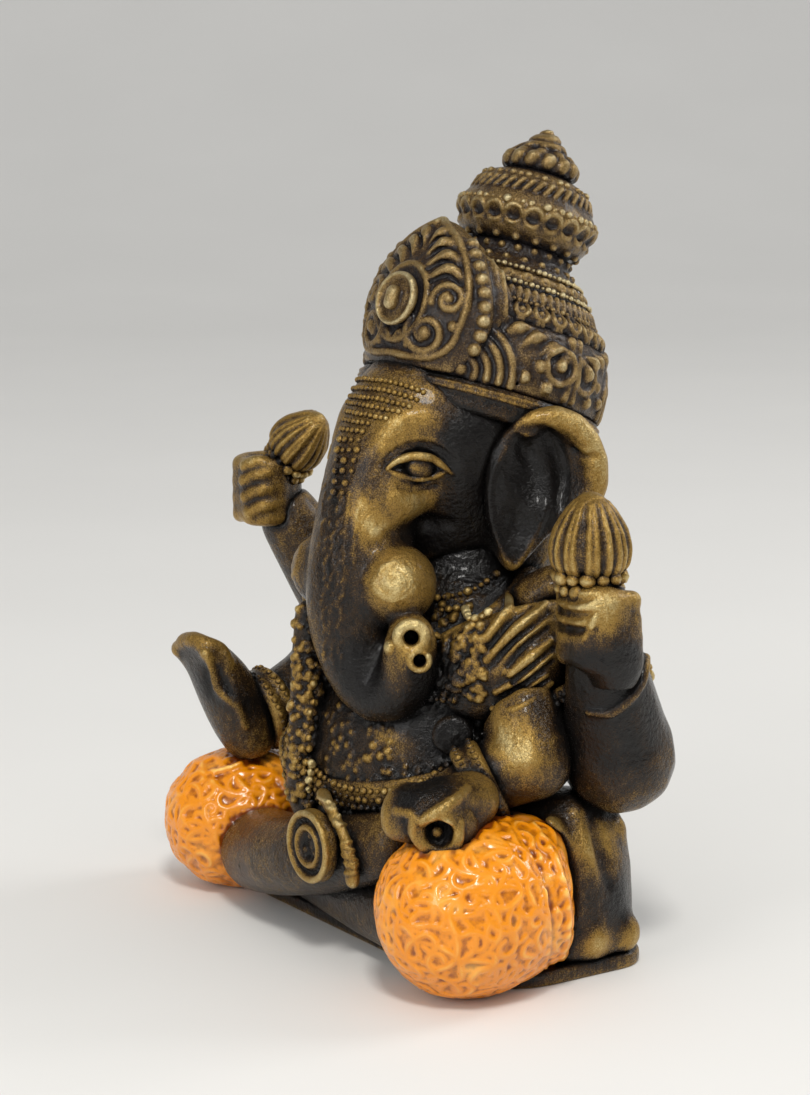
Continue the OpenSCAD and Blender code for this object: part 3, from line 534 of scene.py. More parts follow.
# %% Curves
def curve(keys, step=0.3):
    """A smooth curve through the keys, with a point every so many millimetres."""
    keys = np.asarray(keys, float)
    ends = np.vstack([2 * keys[0] - keys[1], keys, 2 * keys[-1] - keys[-2]])
    points = [keys[:1]]
    for a, b, c, d in zip(ends, keys, keys[1:], ends[3:]):
        count = max(2, int(np.linalg.norm(c - b) / step))
        t = (np.arange(1, count + 1) / count)[:, None]
        points.append(0.5 * (2 * b + (c - a) * t + (2 * a - 5 * b + 4 * c - d) * t ** 2
                             + (3 * b - a - 3 * c + d) * t ** 3))
    return np.vstack(points)


def arc(middle, radius, start=0, end=360, flat=1.0):
    """Part of a circle on a board, from one angle to another in degrees."""
    angles = np.radians(np.linspace(start, end, max(5, int(abs(end - start) / 10))))
    return middle + np.stack([radius * np.cos(angles), radius * flat * np.sin(angles)], 1)


def spiral(middle, outer, inner, start, turns):
    """A curl that winds in from an outer to an inner radius."""
    share = np.linspace(0, 1, int(abs(turns) * 26))
    angles = np.radians(start) + share * turns * 2 * math.pi
    radius = outer + (inner - outer) * share
    return middle + np.stack([radius * np.cos(angles), radius * np.sin(angles)], 1)


def circle(count, one, other):
    """Points round a circle, from the two directions, as long as its radius, that span it."""
    angles = np.linspace(0, 2 * math.pi, count)[:, None]
    return np.cos(angles) * one + np.sin(angles) * other


print("points of an arc that goes all round:", len(arc((0, 0), 1.0)))

# %% [markdown]
# Strokes are drawn flat, on a board that stands beside the figure or on paper wound round the
# crown, and then dropped onto the clay, so they follow its surface. The head is turned a little
# to the figure's left, and what is drawn on its left side is drawn again on its right.

# %% Drawing boards
HEAD_TURN = math.radians(8)
NECK = np.array([0.0, 6.0, 0.0])
BOARD = 56          # degrees round from the front to where most drawings are made
BOARD_AWAY = 40
MISS = 0.25         # a point further than this from the clay has met none
CROWN_TILT = math.radians(20)
CROWN_FOOT = np.array([0, 9.6, 53.6])


def turn(points, way=1):
    """Turns points about the neck as the head is turned, or back."""
    c, s = math.cos(HEAD_TURN), way * math.sin(HEAD_TURN)
    return (np.asarray(points) - NECK) @ np.array([[c, s, 0], [-s, c, 0], [0, 0, 1]]) + NECK


def opposite(points):
    """The same points on the other side of the turned head."""
    return turn(turn(points, -1) * (-1, 1, 1))


def mirrored(points):
    """The same points on the other side of the body."""
    return np.asarray(points) * (-1, 1, 1)


def met(clay, points, lift=0.0):
    """Leaves out the points that met no clay."""
    return points[np.abs(clay.read(points) - lift) < MISS]


def from_side(clay, drawing, azimuth=BOARD, lift=0.0):
    """Drops a drawing, across and up, from an upright board that faces an azimuth."""
    angle = math.radians(azimuth)
    drawing = np.asarray(drawing, float)
    across = np.array([math.cos(angle), math.sin(angle), 0])
    towards = np.array([-math.sin(angle), math.cos(angle), 0])
    points = drawing[:, :1] * across - BOARD_AWAY * towards
    points[:, 2] = drawing[:, 1]
    return met(clay, clay.drop(points, towards, lift), lift)


def on_crown(points):
    """Points of the crown's own axes, in the figure: the crown leans back and turns."""
    points = np.asarray(points, float)
    c, s = math.cos(CROWN_TILT), math.sin(CROWN_TILT)
    lean = np.array([[1, 0, 0], [0, c, -s], [0, s, c]])
    return turn(points @ lean + CROWN_FOOT)


def round_crown(clay, drawing, lift=0.0):
    """Drops a drawing, degrees round from the front and height, on the crown towards its axis."""
    drawing = np.asarray(drawing, float)
    angle = np.radians(drawing[:, 0])
    out = np.stack([np.sin(angle), -np.cos(angle), np.zeros(len(angle))], 1)
    start = 20 * out
    start[:, 2] = drawing[:, 1]
    start, goal = on_crown(start), on_crown(start - 20 * out)
    return met(clay, clay.drop(start, goal - start, lift), lift)


def moved(strokes, place):
    """Strokes whose points are moved by a function, such as to the other side."""
    return [(place(points), radius) for points, radius in strokes]


def pair(strokes, other=opposite):
    """Strokes and their like on the other side."""
    return strokes + moved(strokes, other)


def sketch(clay, keys, radius, lift=0.0, smooth=True):
    """A stroke through keys drawn on the board, dropped onto the clay, and its radius."""
    line = curve(keys) if smooth else np.array(keys, float)
    return from_side(clay, line, lift=lift), radius


def pit(clay, place, radius, depth):
    """A round hole seen from the board."""
    mouth = from_side(clay, [place])
    return np.vstack([mouth, mouth - clay.normal(mouth) * depth]), radius


HEAD_SIDES = (("left", np.asarray), ("right", opposite))
BODY_SIDES = (("left", np.asarray), ("right", mirrored))
print("drawing board:", BOARD, "degrees round from the front")

# %% [markdown]
# The head and the trunk are one form, modelled first as a smooth mass. The eye is built as in
# clay: a brow, a hollow under it, a ball set in the hollow and two rolls laid round it as lids.
# A deep fold runs back under the cheek.

# %% Face
face = block("head", "trunk", "left_tusk", "right_tusk", width=0.65, skin=0.15)
face.ridges(pair([
    sketch(face, [(-2.4, 50.8), (-1.2, 52.4), (0.8, 53.2), (3.0, 52.9), (4.8, 51.4)],
           (0.5, 0.9, 0.9, 0.5), -0.68),
    sketch(face, [(-0.8, 45.4), (1.2, 44.9), (3.0, 45.2)], 1.3, -0.95),
]), blend=1.2)
face.grooves(pair([
    sketch(face, [(-1.6, 48.8), (0.0, 49.2), (1.8, 49.1), (4.2, 48.5)], (0.6, 0.9, 0.9, 0.6), 0.5),
    sketch(face, [(-3.0, 41.2), (-1.4, 41.9), (0.4, 42.0), (2.2, 42.2), (4.2, 42.3)],
           (0.2, 0.6, 0.9, 0.9, 0.4), 0.35),
]), blend=0.9)
lidded = block("head", "trunk", "left_eye", "right_eye", width=0.2, skin=0.1)
face.ridges(pair([
    sketch(lidded, [(-1.7, 48.4), (-0.8, 49.1), (0.8, 49.55), (2.4, 49.35), (3.6, 48.6),
                    (4.6, 47.7)], (0.2, 0.42, 0.46, 0.4, 0.12), 0.05),
    sketch(lidded, [(-1.5, 48.2), (-0.5, 47.7), (1.0, 47.3), (2.6, 47.3), (4.0, 47.9)],
           (0.12, 0.28, 0.3, 0.26, 0.12), -0.05),
]), blend=0.25)
face.grooves(pair([
    sketch(face, [(-2.0, 49.3), (-0.8, 50.2), (1.0, 50.7), (3.0, 50.3), (4.9, 49.0)],
           (0.1, 0.28, 0.34, 0.3, 0.1), 0.05),
    sketch(face, [(-0.6, 46.6), (1.0, 46.1), (3.0, 46.4)], 0.12, 0.0),
]), blend=0.35)

# %% [markdown]
# Ornament runs down the front of the trunk: two cords with small marks between them. Its tip is
# curled up and looks the same way as the left eye, with a ring round the nostril and a smaller
# one below. The tusks are short and rounded, brushed round and round, and melt into the cheeks.

# %% Trunk and tusks
rng = np.random.default_rng(4)
marks = []
for z in np.arange(28.5, 46.0, 0.75):
    for a in (-8.0, -7.2, -6.4):
        spot = np.array([a + rng.uniform(-0.25, 0.25), z + rng.uniform(-0.2, 0.2)])
        end = spot + (rng.uniform(-0.1, 0.4), 0.45)
        marks.append(sketch(face, [spot, end], rng.uniform(0.12, 0.24), -0.05))
face.ridges(marks + [
    sketch(face, [(-5.4, 46.0), (-5.7, 43.0), (-5.9, 40.0), (-6.0, 36.5)], (0.2, 0.14), -0.05),
    sketch(face, [(-4.4, 45.4), (-4.9, 42.0), (-5.0, 39.0)], (0.15, 0.1), -0.05)], blend=0.15)
TIP_WAY = np.array([0.82, -0.55, 0.12])
TIP_SIDES = np.array([[0.56, 0.83, 0.0], [-0.1, 0.07, 0.99]])


def tip_ring(middle, radius, thick, start=0, end=360):
    """A ring of clay round a place on the tip."""
    flat = arc((0, 0), radius, start, end)
    return middle + TIP_WAY * 0.1 + flat @ TIP_SIDES, thick


nostril, second = (from_side(face, [place])[0] for place in ((0.6, 32.8), (1.4, 30.8)))
face.ridges([([nostril - TIP_WAY * 1.6], 2.1)], blend=0.8)
nostril = nostril + TIP_WAY * 0.35
face.ridges([tip_ring(nostril, 1.25, 0.62), tip_ring(second, 0.9, 0.33, 150, 390),
             (from_side(face, [(-1.4, 31.9)], lift=-0.2), 0.8)])
face.grooves([(np.array([middle + TIP_WAY * 1.2, middle - TIP_WAY * deep]), radius)
              for middle, deep, radius in ((nostril, 1.6, 0.72), (second, 1.2, 0.6))], blend=0.2)
corners = node_mesh("left_tusk")[0]
tusk_middle = (corners.min(0) + corners.max(0)) / 2
face.ridges([([place(tusk_middle)], 2.1) for place in (np.asarray, opposite)], blend=2.2)
rings = []
for k in range(8):
    start, radius = rng.uniform(0, 360), 0.4 + 0.27 * k
    rings.append(sketch(face, arc((-0.9, 38.2), radius, start, start + rng.uniform(80, 200), 0.9),
                        (0.1, 0.22, 0.1), -0.09, smooth=False))
face.ridges(pair(rings), blend=0.2)
cast(face, "gilt_patina", "face")
for side in ("left", "right"):
    cast(block(side + "_eye", width=0.15, skin=0.06))

# %% [markdown]
# Rows of small beads hang from the crown over the forehead and run to a point on the trunk.

# %% Forehead beads
def between(clay, *keys):
    """A path through places in space, laid on the clay."""
    return clay.snap(curve(np.array(keys, float), 0.15), 0.05)


rows = [between(face, *keys) for keys in (
    ((-2.9, -3.6, 55.8), (0.4, -4.4, 56.3), (3.0, -3.8, 56.3), (6.0, -1.9, 55.5)),
    ((-2.5, -4.3, 55.0), (0.6, -5.0, 55.5), (3.0, -4.4, 55.5), (5.9, -2.6, 54.8)),
    ((-2.1, -4.9, 54.3), (0.8, -5.6, 54.7), (3.1, -5.0, 54.7), (5.7, -3.3, 54.0)),
    ((-1.7, -5.4, 53.7), (1.0, -5.9, 54.0), (3.3, -5.4, 53.9), (5.3, -4.2, 53.5)),
    ((-0.9, -6.2, 53.1), (1.5, -6.6, 53.3), (3.0, -6.1, 53.2), (4.7, -5.1, 52.8)),
    ((-0.4, -6.8, 52.4), (1.5, -7.0, 52.5), (3.3, -6.4, 52.4)),
    ((0.0, -7.4, 51.6), (1.5, -7.5, 51.7), (3.2, -7.0, 51.7)),
    ((0.6, -8.2, 50.8), (1.9, -8.1, 50.9), (3.2, -7.5, 50.9)),
    ((0.9, -8.6, 49.8), (2.2, -8.4, 49.9), (3.4, -7.8, 50.0)),
    ((1.3, -9.0, 48.9), (2.4, -8.7, 48.9), (3.5, -8.2, 49.0)),
    ((1.7, -9.4, 47.9), (2.7, -9.1, 48.0), (3.6, -8.5, 48.0)),
    ((2.1, -9.6, 46.9), (3.4, -9.2, 46.9)),
    ((2.3, -9.8, 45.9), (3.3, -9.4, 45.9)),
)]
string_beads("forehead_beads", rows[:7], radius=0.31, spacing=0.58)
string_beads("trunk_beads", rows[7:], radius=0.36, spacing=0.8, uneven=0.25)

# %% [markdown]
# The ears spread beside the head: a thick rolled rim, a deep hollow with a fold in it, and a
# leaf-shaped lobe that ends in a point. They are one form and its mirror image.

# %% Ears
def shape_ear(clay, place):
    """The folds of an ear, drawn for the left one and placed by the function given."""
    probe = block("left_ear", width=0.45, skin=0.15)

    def drawn(keys, radius, lift=0.0):
        points, radius = sketch(probe, keys, radius, lift)
        return place(points), radius

    clay.ridges([
        drawn([(14.2, 54.2), (15.9, 53.0), (17.2, 50.8), (17.7, 48.0), (17.7, 45.4), (17.2, 43.4)],
              (1.0, 1.6, 2.1, 1.9, 1.5, 0.8), -1.2),
        drawn([(13.0, 49.9), (13.6, 48.4), (13.9, 46.6), (13.8, 44.4)], (0.1, 0.5, 0.6, 0.3), -0.3),
    ], blend=1.1)
    clay.grooves([
        drawn([(10.9, 51.0), (11.8, 49.8), (12.3, 47.6)], (0.6, 0.8, 0.3), 0.3),
        drawn([(11.6, 51.9), (13.6, 51.5), (14.9, 49.6), (15.4, 47.0), (15.2, 44.4)],
              (0.7, 0.8, 0.8, 0.8, 0.5), 0.35),
        drawn([(16.4, 49.8), (17.4, 49.2), (18.6, 49.4)], 0.2, 0.05),
    ], blend=0.5)
    clay.ridges([
        drawn([(9.8, 50.2), (8.5, 47.4), (8.3, 44.6), (8.9, 41.6), (10.6, 38.3), (12.4, 40.8),
               (13.6, 43.6), (13.9, 46.0)],
              (0.2, 0.28, 0.28, 0.25, 0.35, 0.28, 0.28, 0.15), -0.05)])


for side, place in HEAD_SIDES:
    ear = block(side + "_ear", width=0.45, skin=0.15)
    shape_ear(ear, place)
    cast(ear, "gilt_patina")

# %% [markdown]
# The crown is chased all over, so its ornament is drawn on paper that is wound round its axis:
# millimetres across and up. The drum carries shells, leaves and rings, the same on each quarter
# and mirrored from one to the next.

# %% Crown drum
DRUM_R, BAND_R, CREST_R = 12.0, 10.8, 13.0


def wound(clay, drawing, degrees, lift=0.0, radius=DRUM_R, flip=1):
    """Drops a flat drawing, in millimetres, on the crown, its middle so many degrees round."""
    drawing = np.asarray(drawing, float)
    angles = degrees + flip * np.degrees(drawing[:, 0] / radius)
    return round_crown(clay, np.stack([angles, drawing[:, 1]], 1), lift)


def hoop(radius, height):
    """A circle round the crown's axis."""
    return on_crown(circle(120, (0, -radius, 0), (radius, 0, 0)) + (0, 0, height))


def quarter_of_drum(clay, degrees, flip):
    """Shell, leaves, knobs and ring, from the crest round to the back."""
    def drawn(drawing, radius, lift=0.0, smooth=False):
        return wound(clay, curve(drawing) if smooth else drawing, degrees, lift, flip=flip), radius

    shells = [drawn(arc((0, 0.6), r, -25, 125), 0.42, -0.05) for r in (1.5, 2.7, 3.9, 5.1)]
    leaves = [drawn([(x, z), (x + 1.1, z + 1.0), (x + 2.6, z + 1.4)], (0.25, 0.75, 0.2), -0.1, True)
              for x, z in ((1.4, 5.6), (3.4, 5.1), (5.4, 4.6), (7.4, 4.1), (9.2, 3.4))]
    knobs = [drawn([place], 0.75, -0.2) for place in ((0, 0.8), (6.2, 1.6), (7.6, 3.0), (8.8, 1.2))]
    ring = [drawn(arc((13.6, 3.6), 1.7), 0.38), drawn([(13.6, 3.6)], 0.7, -0.1),
            drawn([(11.2, 0.8), (11.5, 3.4), (11.2, 6.4)], (0.5, 0.4, 0.6), -0.1, True)]
    clay.ridges(shells + leaves + knobs + ring, blend=0.2)
    clay.grooves([drawn(arc((0, 0.6), r, -20, 118), 0.16, 0.1) for r in (2.1, 3.3, 4.5, 5.8)],
                 blend=0.15)


drum = block("crown_drum", width=0.3, skin=0.1)
for degrees, flip in ((34, 1), (-34, -1), (146, -1), (-146, 1)):
    quarter_of_drum(drum, degrees, flip)
cast(drum, "crown_patina")

# %% [markdown]
# Above the drum the crown steps in three times. Each step has its own row: rosettes and hanging
# loops, pegs, small rings and dots, with rows of beads between them.

# %% Crown bands
bands = block("crown_bands", width=0.25, skin=0.1)
rosettes = []
for k in range(32):
    rosettes += [(wound(bands, arc((0, 8.2), 0.72), k * 11.25, 0.05, BAND_R), 0.24),
                 (wound(bands, [(0, 8.2)], k * 11.25, 0.0, BAND_R), 0.28),
                 (wound(bands, arc((0, 7.4), 0.9, 200, 340), k * 11.25 + 5.6, 0.1, BAND_R), 0.3)]
pegs = [(wound(bands, [(0, 9.2), (0, 10.2)], k * 5.3, 0.0, 9.4), 0.3) for k in range(68)]
small = [(wound(bands, arc((0, 11.6), 0.4), k * 14.4, 0.0, 8.2), 0.17) for k in range(25)]
dots = [(round_crown(bands, [(k * 18 + 9 * (height > 14), height)]), 0.4) for k in range(20)
        for height in (13.4, 14.6)]
bands.ridges(rosettes + pegs + small + dots, blend=0.12)
cast(bands, "crown_patina")
string_beads("crown_bead_rows", [hoop(9.6, 9.0), hoop(8.5, 10.9), hoop(7.3, 12.5)], radius=0.25,
             spacing=0.6, slot="crown_patina", nodes=["crown_beads"], uneven=0.4)

# %% [markdown]
# The leaf-shaped crest in front is drawn for one half: a double volute, feathers above it with
# gaps between them, and a border. Knobs and a cord run along the side of the plate. An oval jewel
# sits in its middle, and a plain band below meets the brow.

# %% Crest, jewel and brow band
crest = block("crown_crest", width=0.3, skin=0.1)


def on_crest(drawing, radius, lift=0.0, smooth=True):
    """A stroke of the crest's right half and its like on the left half."""
    drawing = np.asarray(drawing, float)
    line = curve(drawing) if smooth and len(drawing) > 1 else drawing
    return [(wound(crest, line * (flip, 1), 0, lift, CREST_R), radius) for flip in (1, -1)]


raised, gaps = [], []
for line in ([(2.7, 8.8), (4.4, 9.9), (6.0, 9.2)], [(1.9, 10.0), (3.4, 11.3), (5.0, 10.9)],
             [(1.2, 11.2), (2.4, 12.6), (3.7, 12.4)], [(0.6, 12.4), (1.3, 13.6), (2.2, 13.8)]):
    raised += on_crest(line, (0.35, 0.75, 0.35), -0.1)
    gaps += on_crest(np.array(line) - (0.1, 0.75), (0.15, 0.3, 0.2), 0.05)
raised += on_crest(spiral((3.7, 3.3), 2.2, 0.7, 150, 1.25), 0.44, 0.0, False)
raised += on_crest(spiral((5.3, 6.9), 1.7, 0.5, 200, -1.2), 0.42, 0.0, False)
raised += on_crest([(0.2, 0.9), (2.3, 0.8), (4.8, 1.2), (6.4, 2.6), (6.9, 4.6), (7.1, 6.2)], 0.4)
raised += on_crest([(7.1, 6.4), (6.8, 8.4), (5.7, 10.8), (3.7, 13.0), (0.2, 15.0)], 0.42)
raised += on_crest([(1.6, 2.4), (0.9, 3.0), (0.2, 2.2)], 0.35)
for place, radius in (((3.7, 3.3), 0.8), ((5.2, 6.9), 0.6), ((6.3, 4.4), 0.6), ((1.9, 1.9), 0.5)):
    raised += on_crest([place], radius, -0.1)
raised += [(wound(crest, arc((0, 6.0), 3.1, flat=1.25), 0, 0.0, CREST_R), 0.4)]
crest.ridges(raised, blend=0.18)
crest.grooves(gaps, blend=0.15)
edge = curve([(8.4, 1.4), (9.0, 4.2), (8.7, 7.0), (7.7, 9.6), (6.1, 12.0), (4.2, 14.0)], 1.25)
knobs = [stroke for place in edge for stroke in on_crest([place], 0.72, -0.15)]
crest.grooves(on_crest(edge + (1.3, 0.2), 0.45, 0.15))
crest.ridges(knobs + on_crest(edge + (2.1, 0.3), 0.3), blend=0.2)
cast(crest, "crown_patina")

jewel = block("crown_jewel", width=0.2, skin=0.1)
for size, depth in ((1.0, 0.45), (1.5, 0.5)):
    oval = arc((0, 6.0), size, flat=1.3)
    jewel.grooves([(wound(jewel, oval, 0, 0.1, CREST_R), depth)], blend=0.2)
jewel.ridges([(wound(jewel, [(0, 5.5), (0, 6.5)], 0, 0.0, CREST_R), 0.75)], blend=0.2)
cast(jewel, "crown_patina")

brow = block("brow_band", width=0.25, skin=0.1)
brow.grooves([(brow.snap(hoop(12.6, h), 0.1), 0.3) for h in (-1.7, -0.95, -0.2)], blend=0.2)
cast(brow)

# %% [markdown]
# The finial is a bowl with a flower of beads round its lip, a twisted ring and a swirled cone.

# %% Finial
bowl = block("finial_bowl", width=0.3, skin=0.1)
reeds = [(wound(bowl, [(-0.3, 20.3), (0.3, 21.3)], k * 10, 0.0, 5.7), 0.3) for k in range(36)]
petals = [(wound(bowl, arc((0, 17.6), 0.9), k * 17.1, 0.0, 7.0), 0.26) for k in range(21)]
neck = [(round_crown(bowl, [(k * 20, height)]), 0.42) for k in range(18) for height in (14.2, 15.6)]
bowl.ridges(reeds + petals + neck, blend=0.15)
cast(bowl, "crown_patina")
string_beads("finial_bead_rows", [hoop(7.0, 18.9), hoop(5.2, 21.9)], radius=0.36,
             spacing=0.8, slot="crown_patina", nodes=["finial_beads"], uneven=0.4)

tip = block("finial_tip", width=0.25, skin=0.1)
petals = []
for count, height, radius, shift in ((13, 23.7, 0.8, 0), (13, 22.9, 0.6, 0.5), (9, 24.9, 0.6, 0)):
    petal = [(0, height), (0.2, height + 0.5)]
    petals += [(wound(tip, petal, (k + shift) * 360 / count, -0.25, 4.0), radius)
               for k in range(count)]
tip.ridges(petals, blend=0.25)
winding = np.stack([np.linspace(0, 1080, 160), np.linspace(25.4, 28.2, 160)], 1)
tip.grooves([(round_crown(tip, winding), 0.2)], blend=0.2)
cast(tip, "crown_patina")

# %% [markdown]
# The body is smooth and bulbous under its dress. Each arm is one form from shoulder to wrist, and
# the neck is scratched with fine lines where the skin folds.

# %% Body and arms
def scratches(clay, low, high, count, length, radius, azimuth=BOARD, seed=1, lift=0.0):
    """Short scratches scattered over a patch of the board."""
    rng = np.random.default_rng(seed)
    strokes = []
    for _ in range(count):
        start = rng.uniform(low, high)
        bend = rng.uniform(-0.5, 0.5)
        way = np.array([math.cos(bend), math.sin(bend)]) * length * rng.uniform(0.5, 1.2)
        line = curve([start, start + way * 0.5 + 0.1, start + way])
        strokes.append((from_side(clay, line, azimuth, lift), radius))
    return strokes


def lumps(clay, low, high, count, sizes, lift=0.0, azimuth=BOARD, bare=None):
    """Small lumps pressed on at random over a patch of the board, but for a round bare place."""
    rng = np.random.default_rng(8)
    spots = rng.uniform(low, high, (count, 2))
    if bare:
        spots = spots[np.hypot(spots[:, 0] - bare[0], spots[:, 1] - bare[1]) > bare[2]]
    places = from_side(clay, spots, azimuth, lift)
    return [(place[None], size) for place, size in zip(places, rng.uniform(*sizes, len(places)))]


torso = block("torso", skin=0.1)
torso.ridges(scratches(torso, (2.5, 34.8), (8.6, 39.6), 42, 1.5, 0.13, lift=-0.03), blend=0.1)
chest_lumps = lumps(torso, (-8.0, 17.0), (9.5, 29.0), 250, (0.22, 0.5), -0.1, bare=(1.2, 22.6, 2.6))
torso.ridges(pair(chest_lumps, mirrored), blend=0.25)
cast(torso)
for side in ("left", "right"):
    arm = block(side + "_upper_arm", side + "_forearm", width=0.55)
    cast(arm, name=side + "_arm")
cord = sketch(block("rear_left_upper_arm", "rear_left_forearm", width=0.6),
              [(23.4, 33.0), (22.7, 30.8), (22.0, 29.2), (19.7, 27.0), (17.4, 26.7)],
              (0.5, 0.6, 0.6, 0.5, 0.3), 0.05)
for side, place in BODY_SIDES:
    arm = block(f"rear_{side}_upper_arm", f"rear_{side}_forearm", width=0.6)
    arm.ridges(moved([cord], place))
    cast(arm, name=f"rear_{side}_arm")

# %% [markdown]
# The hands are simple on a figure of this size. The left one closes over a sweet: a rounded back,
# a bright ridge of knuckles, and rims that meet in a point below a deep hollow where the sweet
# shines. The raised right one is a mitten with a rolled edge and one long fold across its palm.

# %% Hands
hand = block("left_palm_hand", width=0.8, skin=0.3)
hand.ridges([([(20.2, -6.0, 18.6), (20.4, -9.0, 18.8), (20.2, -11.4, 18.2)], (2.6, 2.5, 2.1)),
             ([(21.8, -9.2, 17.2), (21.8, -11.0, 16.4)], (2.0, 1.6))], blend=1.2)
sweet_spot = (2.9, 16.8)
hand.grooves([pit(hand, sweet_spot, 1.35, 0.8)], blend=0.5)
hand.ridges([
    sketch(hand, [(-0.8, 18.6), (0.4, 18.6), (1.4, 18.1), (2.6, 18.8), (4.0, 19.6), (5.9, 20.6)],
           (0.4, 0.5, 0.5, 0.6, 0.5, 0.3), -0.05),
    sketch(hand, [(0.8, 18.2), (0.9, 16.6), (1.9, 15.2), (3.9, 13.8)], (0.5, 0.5, 0.45, 0.25)),
    sketch(hand, [(5.2, 17.8), (5.0, 16.2), (4.5, 15.0), (3.9, 13.8)], (0.3, 0.45, 0.45, 0.25)),
], blend=0.4)
hand.grooves([sketch(hand, [(-0.2, 17.9), (0.0, 16.6), (0.8, 15.2)], 0.18)], blend=0.2)
cast(hand, "gilt_patina")
sweet = block("sweet", width=0.2, skin=0.1)
sweet_front = from_side(hand, [sweet_spot])
sweet.ridges([(sweet_front + hand.normal(sweet_front) * 0.35, 0.6)])
cast(sweet)

palm = block("right_raised_hand", width=0.7, skin=0.25)
palm.ridges([
    sketch(palm, [(-24.0, 25.6), (-23.2, 27.0), (-21.2, 27.7), (-19.0, 26.9), (-18.0, 25.4)],
           (0.5, 0.75, 0.8, 0.75, 0.5), -0.3),
    sketch(palm, [(-20.6, 26.4), (-19.9, 24.2), (-19.2, 22.4), (-17.4, 20.8), (-16.6, 18.6)],
           (0.45, 0.5, 0.5, 0.4, 0.3), -0.1),
], blend=0.5)
palm.grooves([
    sketch(palm, [(-21.2, 26.2), (-20.8, 24.0), (-20.4, 22.0)], (0.3, 0.6, 0.3), 0.3),
    sketch(palm, [(-19.2, 25.0), (-18.4, 23.0), (-17.6, 21.6)], (0.2, 0.45, 0.2), 0.2),
], blend=0.5)
cast(palm)

fist = block("rear_left_hand")
fist.ridges([([(26.4, 4.8, 33.8), (26.9, 5.6, 31.0)], (3.1, 2.5)),
             ([(26.8, 3.6, 37.2), (27.0, 4.2, 34.0)], (2.2, 2.4))], blend=1.4)
fist.grooves([sketch(fist, [(13.6, z), (15.6, z + 0.2), (17.8, z + 0.7)], (0.45, 0.5, 0.15), 0.05)
              for z in (38.0, 36.5, 35.0)])
fist.ridges([sketch(fist, [(17.7, 37.0), (17.2, 35.6), (16.6, 34.6)], (0.15, 0.35, 0.15))])
cast(fist, "gilt_patina")

fist = block("rear_right_hand", width=0.6)
finger = np.array([(0, 0), (1.3, 0.7), (2.8, 1.0)])
fist.ridges([sketch(fist, finger + root, (0.75, 0.8, 0.5), -0.35)
             for root in ((-17.0, 44.2), (-17.2, 42.6), (-17.0, 40.9), (-16.6, 39.2))])
cast(fist, "gilt_patina")

# %% [markdown]
# The rear hands hold lotus buds. Each bud is pleated with ribs that run together at its tip, and
# sits on a collar of square beads.

# %% Lotus buds
def ribbed(clay, foot, way, length, count, radius):
    """Ribs along a form, from its foot to its tip, all round it."""
    side = unit(np.cross(way, (0.3, 1, 0.2)))
    other = np.cross(way, side)
    strokes = []
    for k in range(count):
        angle = 2 * math.pi * (k + 0.25 * math.sin(3.7 * k)) / count
        out = math.cos(angle) * side + math.sin(angle) * other
        line = np.array([foot + way * length * t + out * 6 for t in np.linspace(0.03, 0.97, 22)])
        strokes.append((met(clay, clay.drop(line, -out)), radius))
    return strokes


for side, foot, way, size in (("left", (24.6, 4.4, 37.9), (0, 0, 1), 1.0),
                              ("right", (-24.8, 0.8, 43.6), (0.62, 0.3, 0.72), 0.8)):
    bud = block(side + "_bud", width=0.3, skin=0.1)
    way = unit(way)
    thick = (0.5 * size, 0.36 * size, 0.3 * size, 0.16)
    bud.ridges(ribbed(bud, foot + way * 1.6 * size, way, 7.6 * size, 21, thick), blend=0.2)
    cast(bud, "gilt_patina")
    cast(block(side + "_bud_collar", width=0.25, skin=0.1), "gilt_patina")
    across = unit(np.cross(way, (0, 1, 0.1)))
    ring = circle(60, across, np.cross(way, across))
    collars = [foot + way * rise * size + reach * size * ring
               for rise, reach in ((0.7, 2.8), (2.0, 2.95))]
    string_beads(side + "_bud_beads", collars, radius=0.74 * size, spacing=1.4 * size, uneven=0.2)

# %% [markdown]
# Bangles and armlets are cords of metal, dressed with a row of beads. The middle and the axis of
# each ring are found from its own corners.

# %% Bangles and armlets
def ring_round(name, along=0.0, out=1.0):
    """A circle round a ring-shaped node, moved along its axis and scaled."""
    corners = node_mesh(name)[0]
    middle = (corners.max(0) + corners.min(0)) / 2
    ways = np.linalg.svd(corners - corners.mean(0), full_matrices=False)[2]
    half = np.abs((corners - middle) @ ways.T).max(0)
    return middle + along * ways[2] + out * circle(90, half[0] * ways[0], half[1] * ways[1])


for name, rows in (("left_bangles", (-0.75, 0.75)), ("right_bangles", (-0.75, 0.75)),
                   ("rear_left_armlet", (0.0, -0.7)), ("rear_right_armlet", (0.0, -0.7))):
    cast(block(name, width=0.25, skin=0.05), "gilt_patina")
    string_beads(name + "_beads", [ring_round(name, row, 0.97) for row in rows], radius=0.36,
                 spacing=0.8, uneven=0.25)

# %% [markdown]
# The shawls are drawn round the shoulders in long pleats, each a sharp bright ridge with a deep
# dark gap below it. They are drawn for the left shoulder and mirrored.

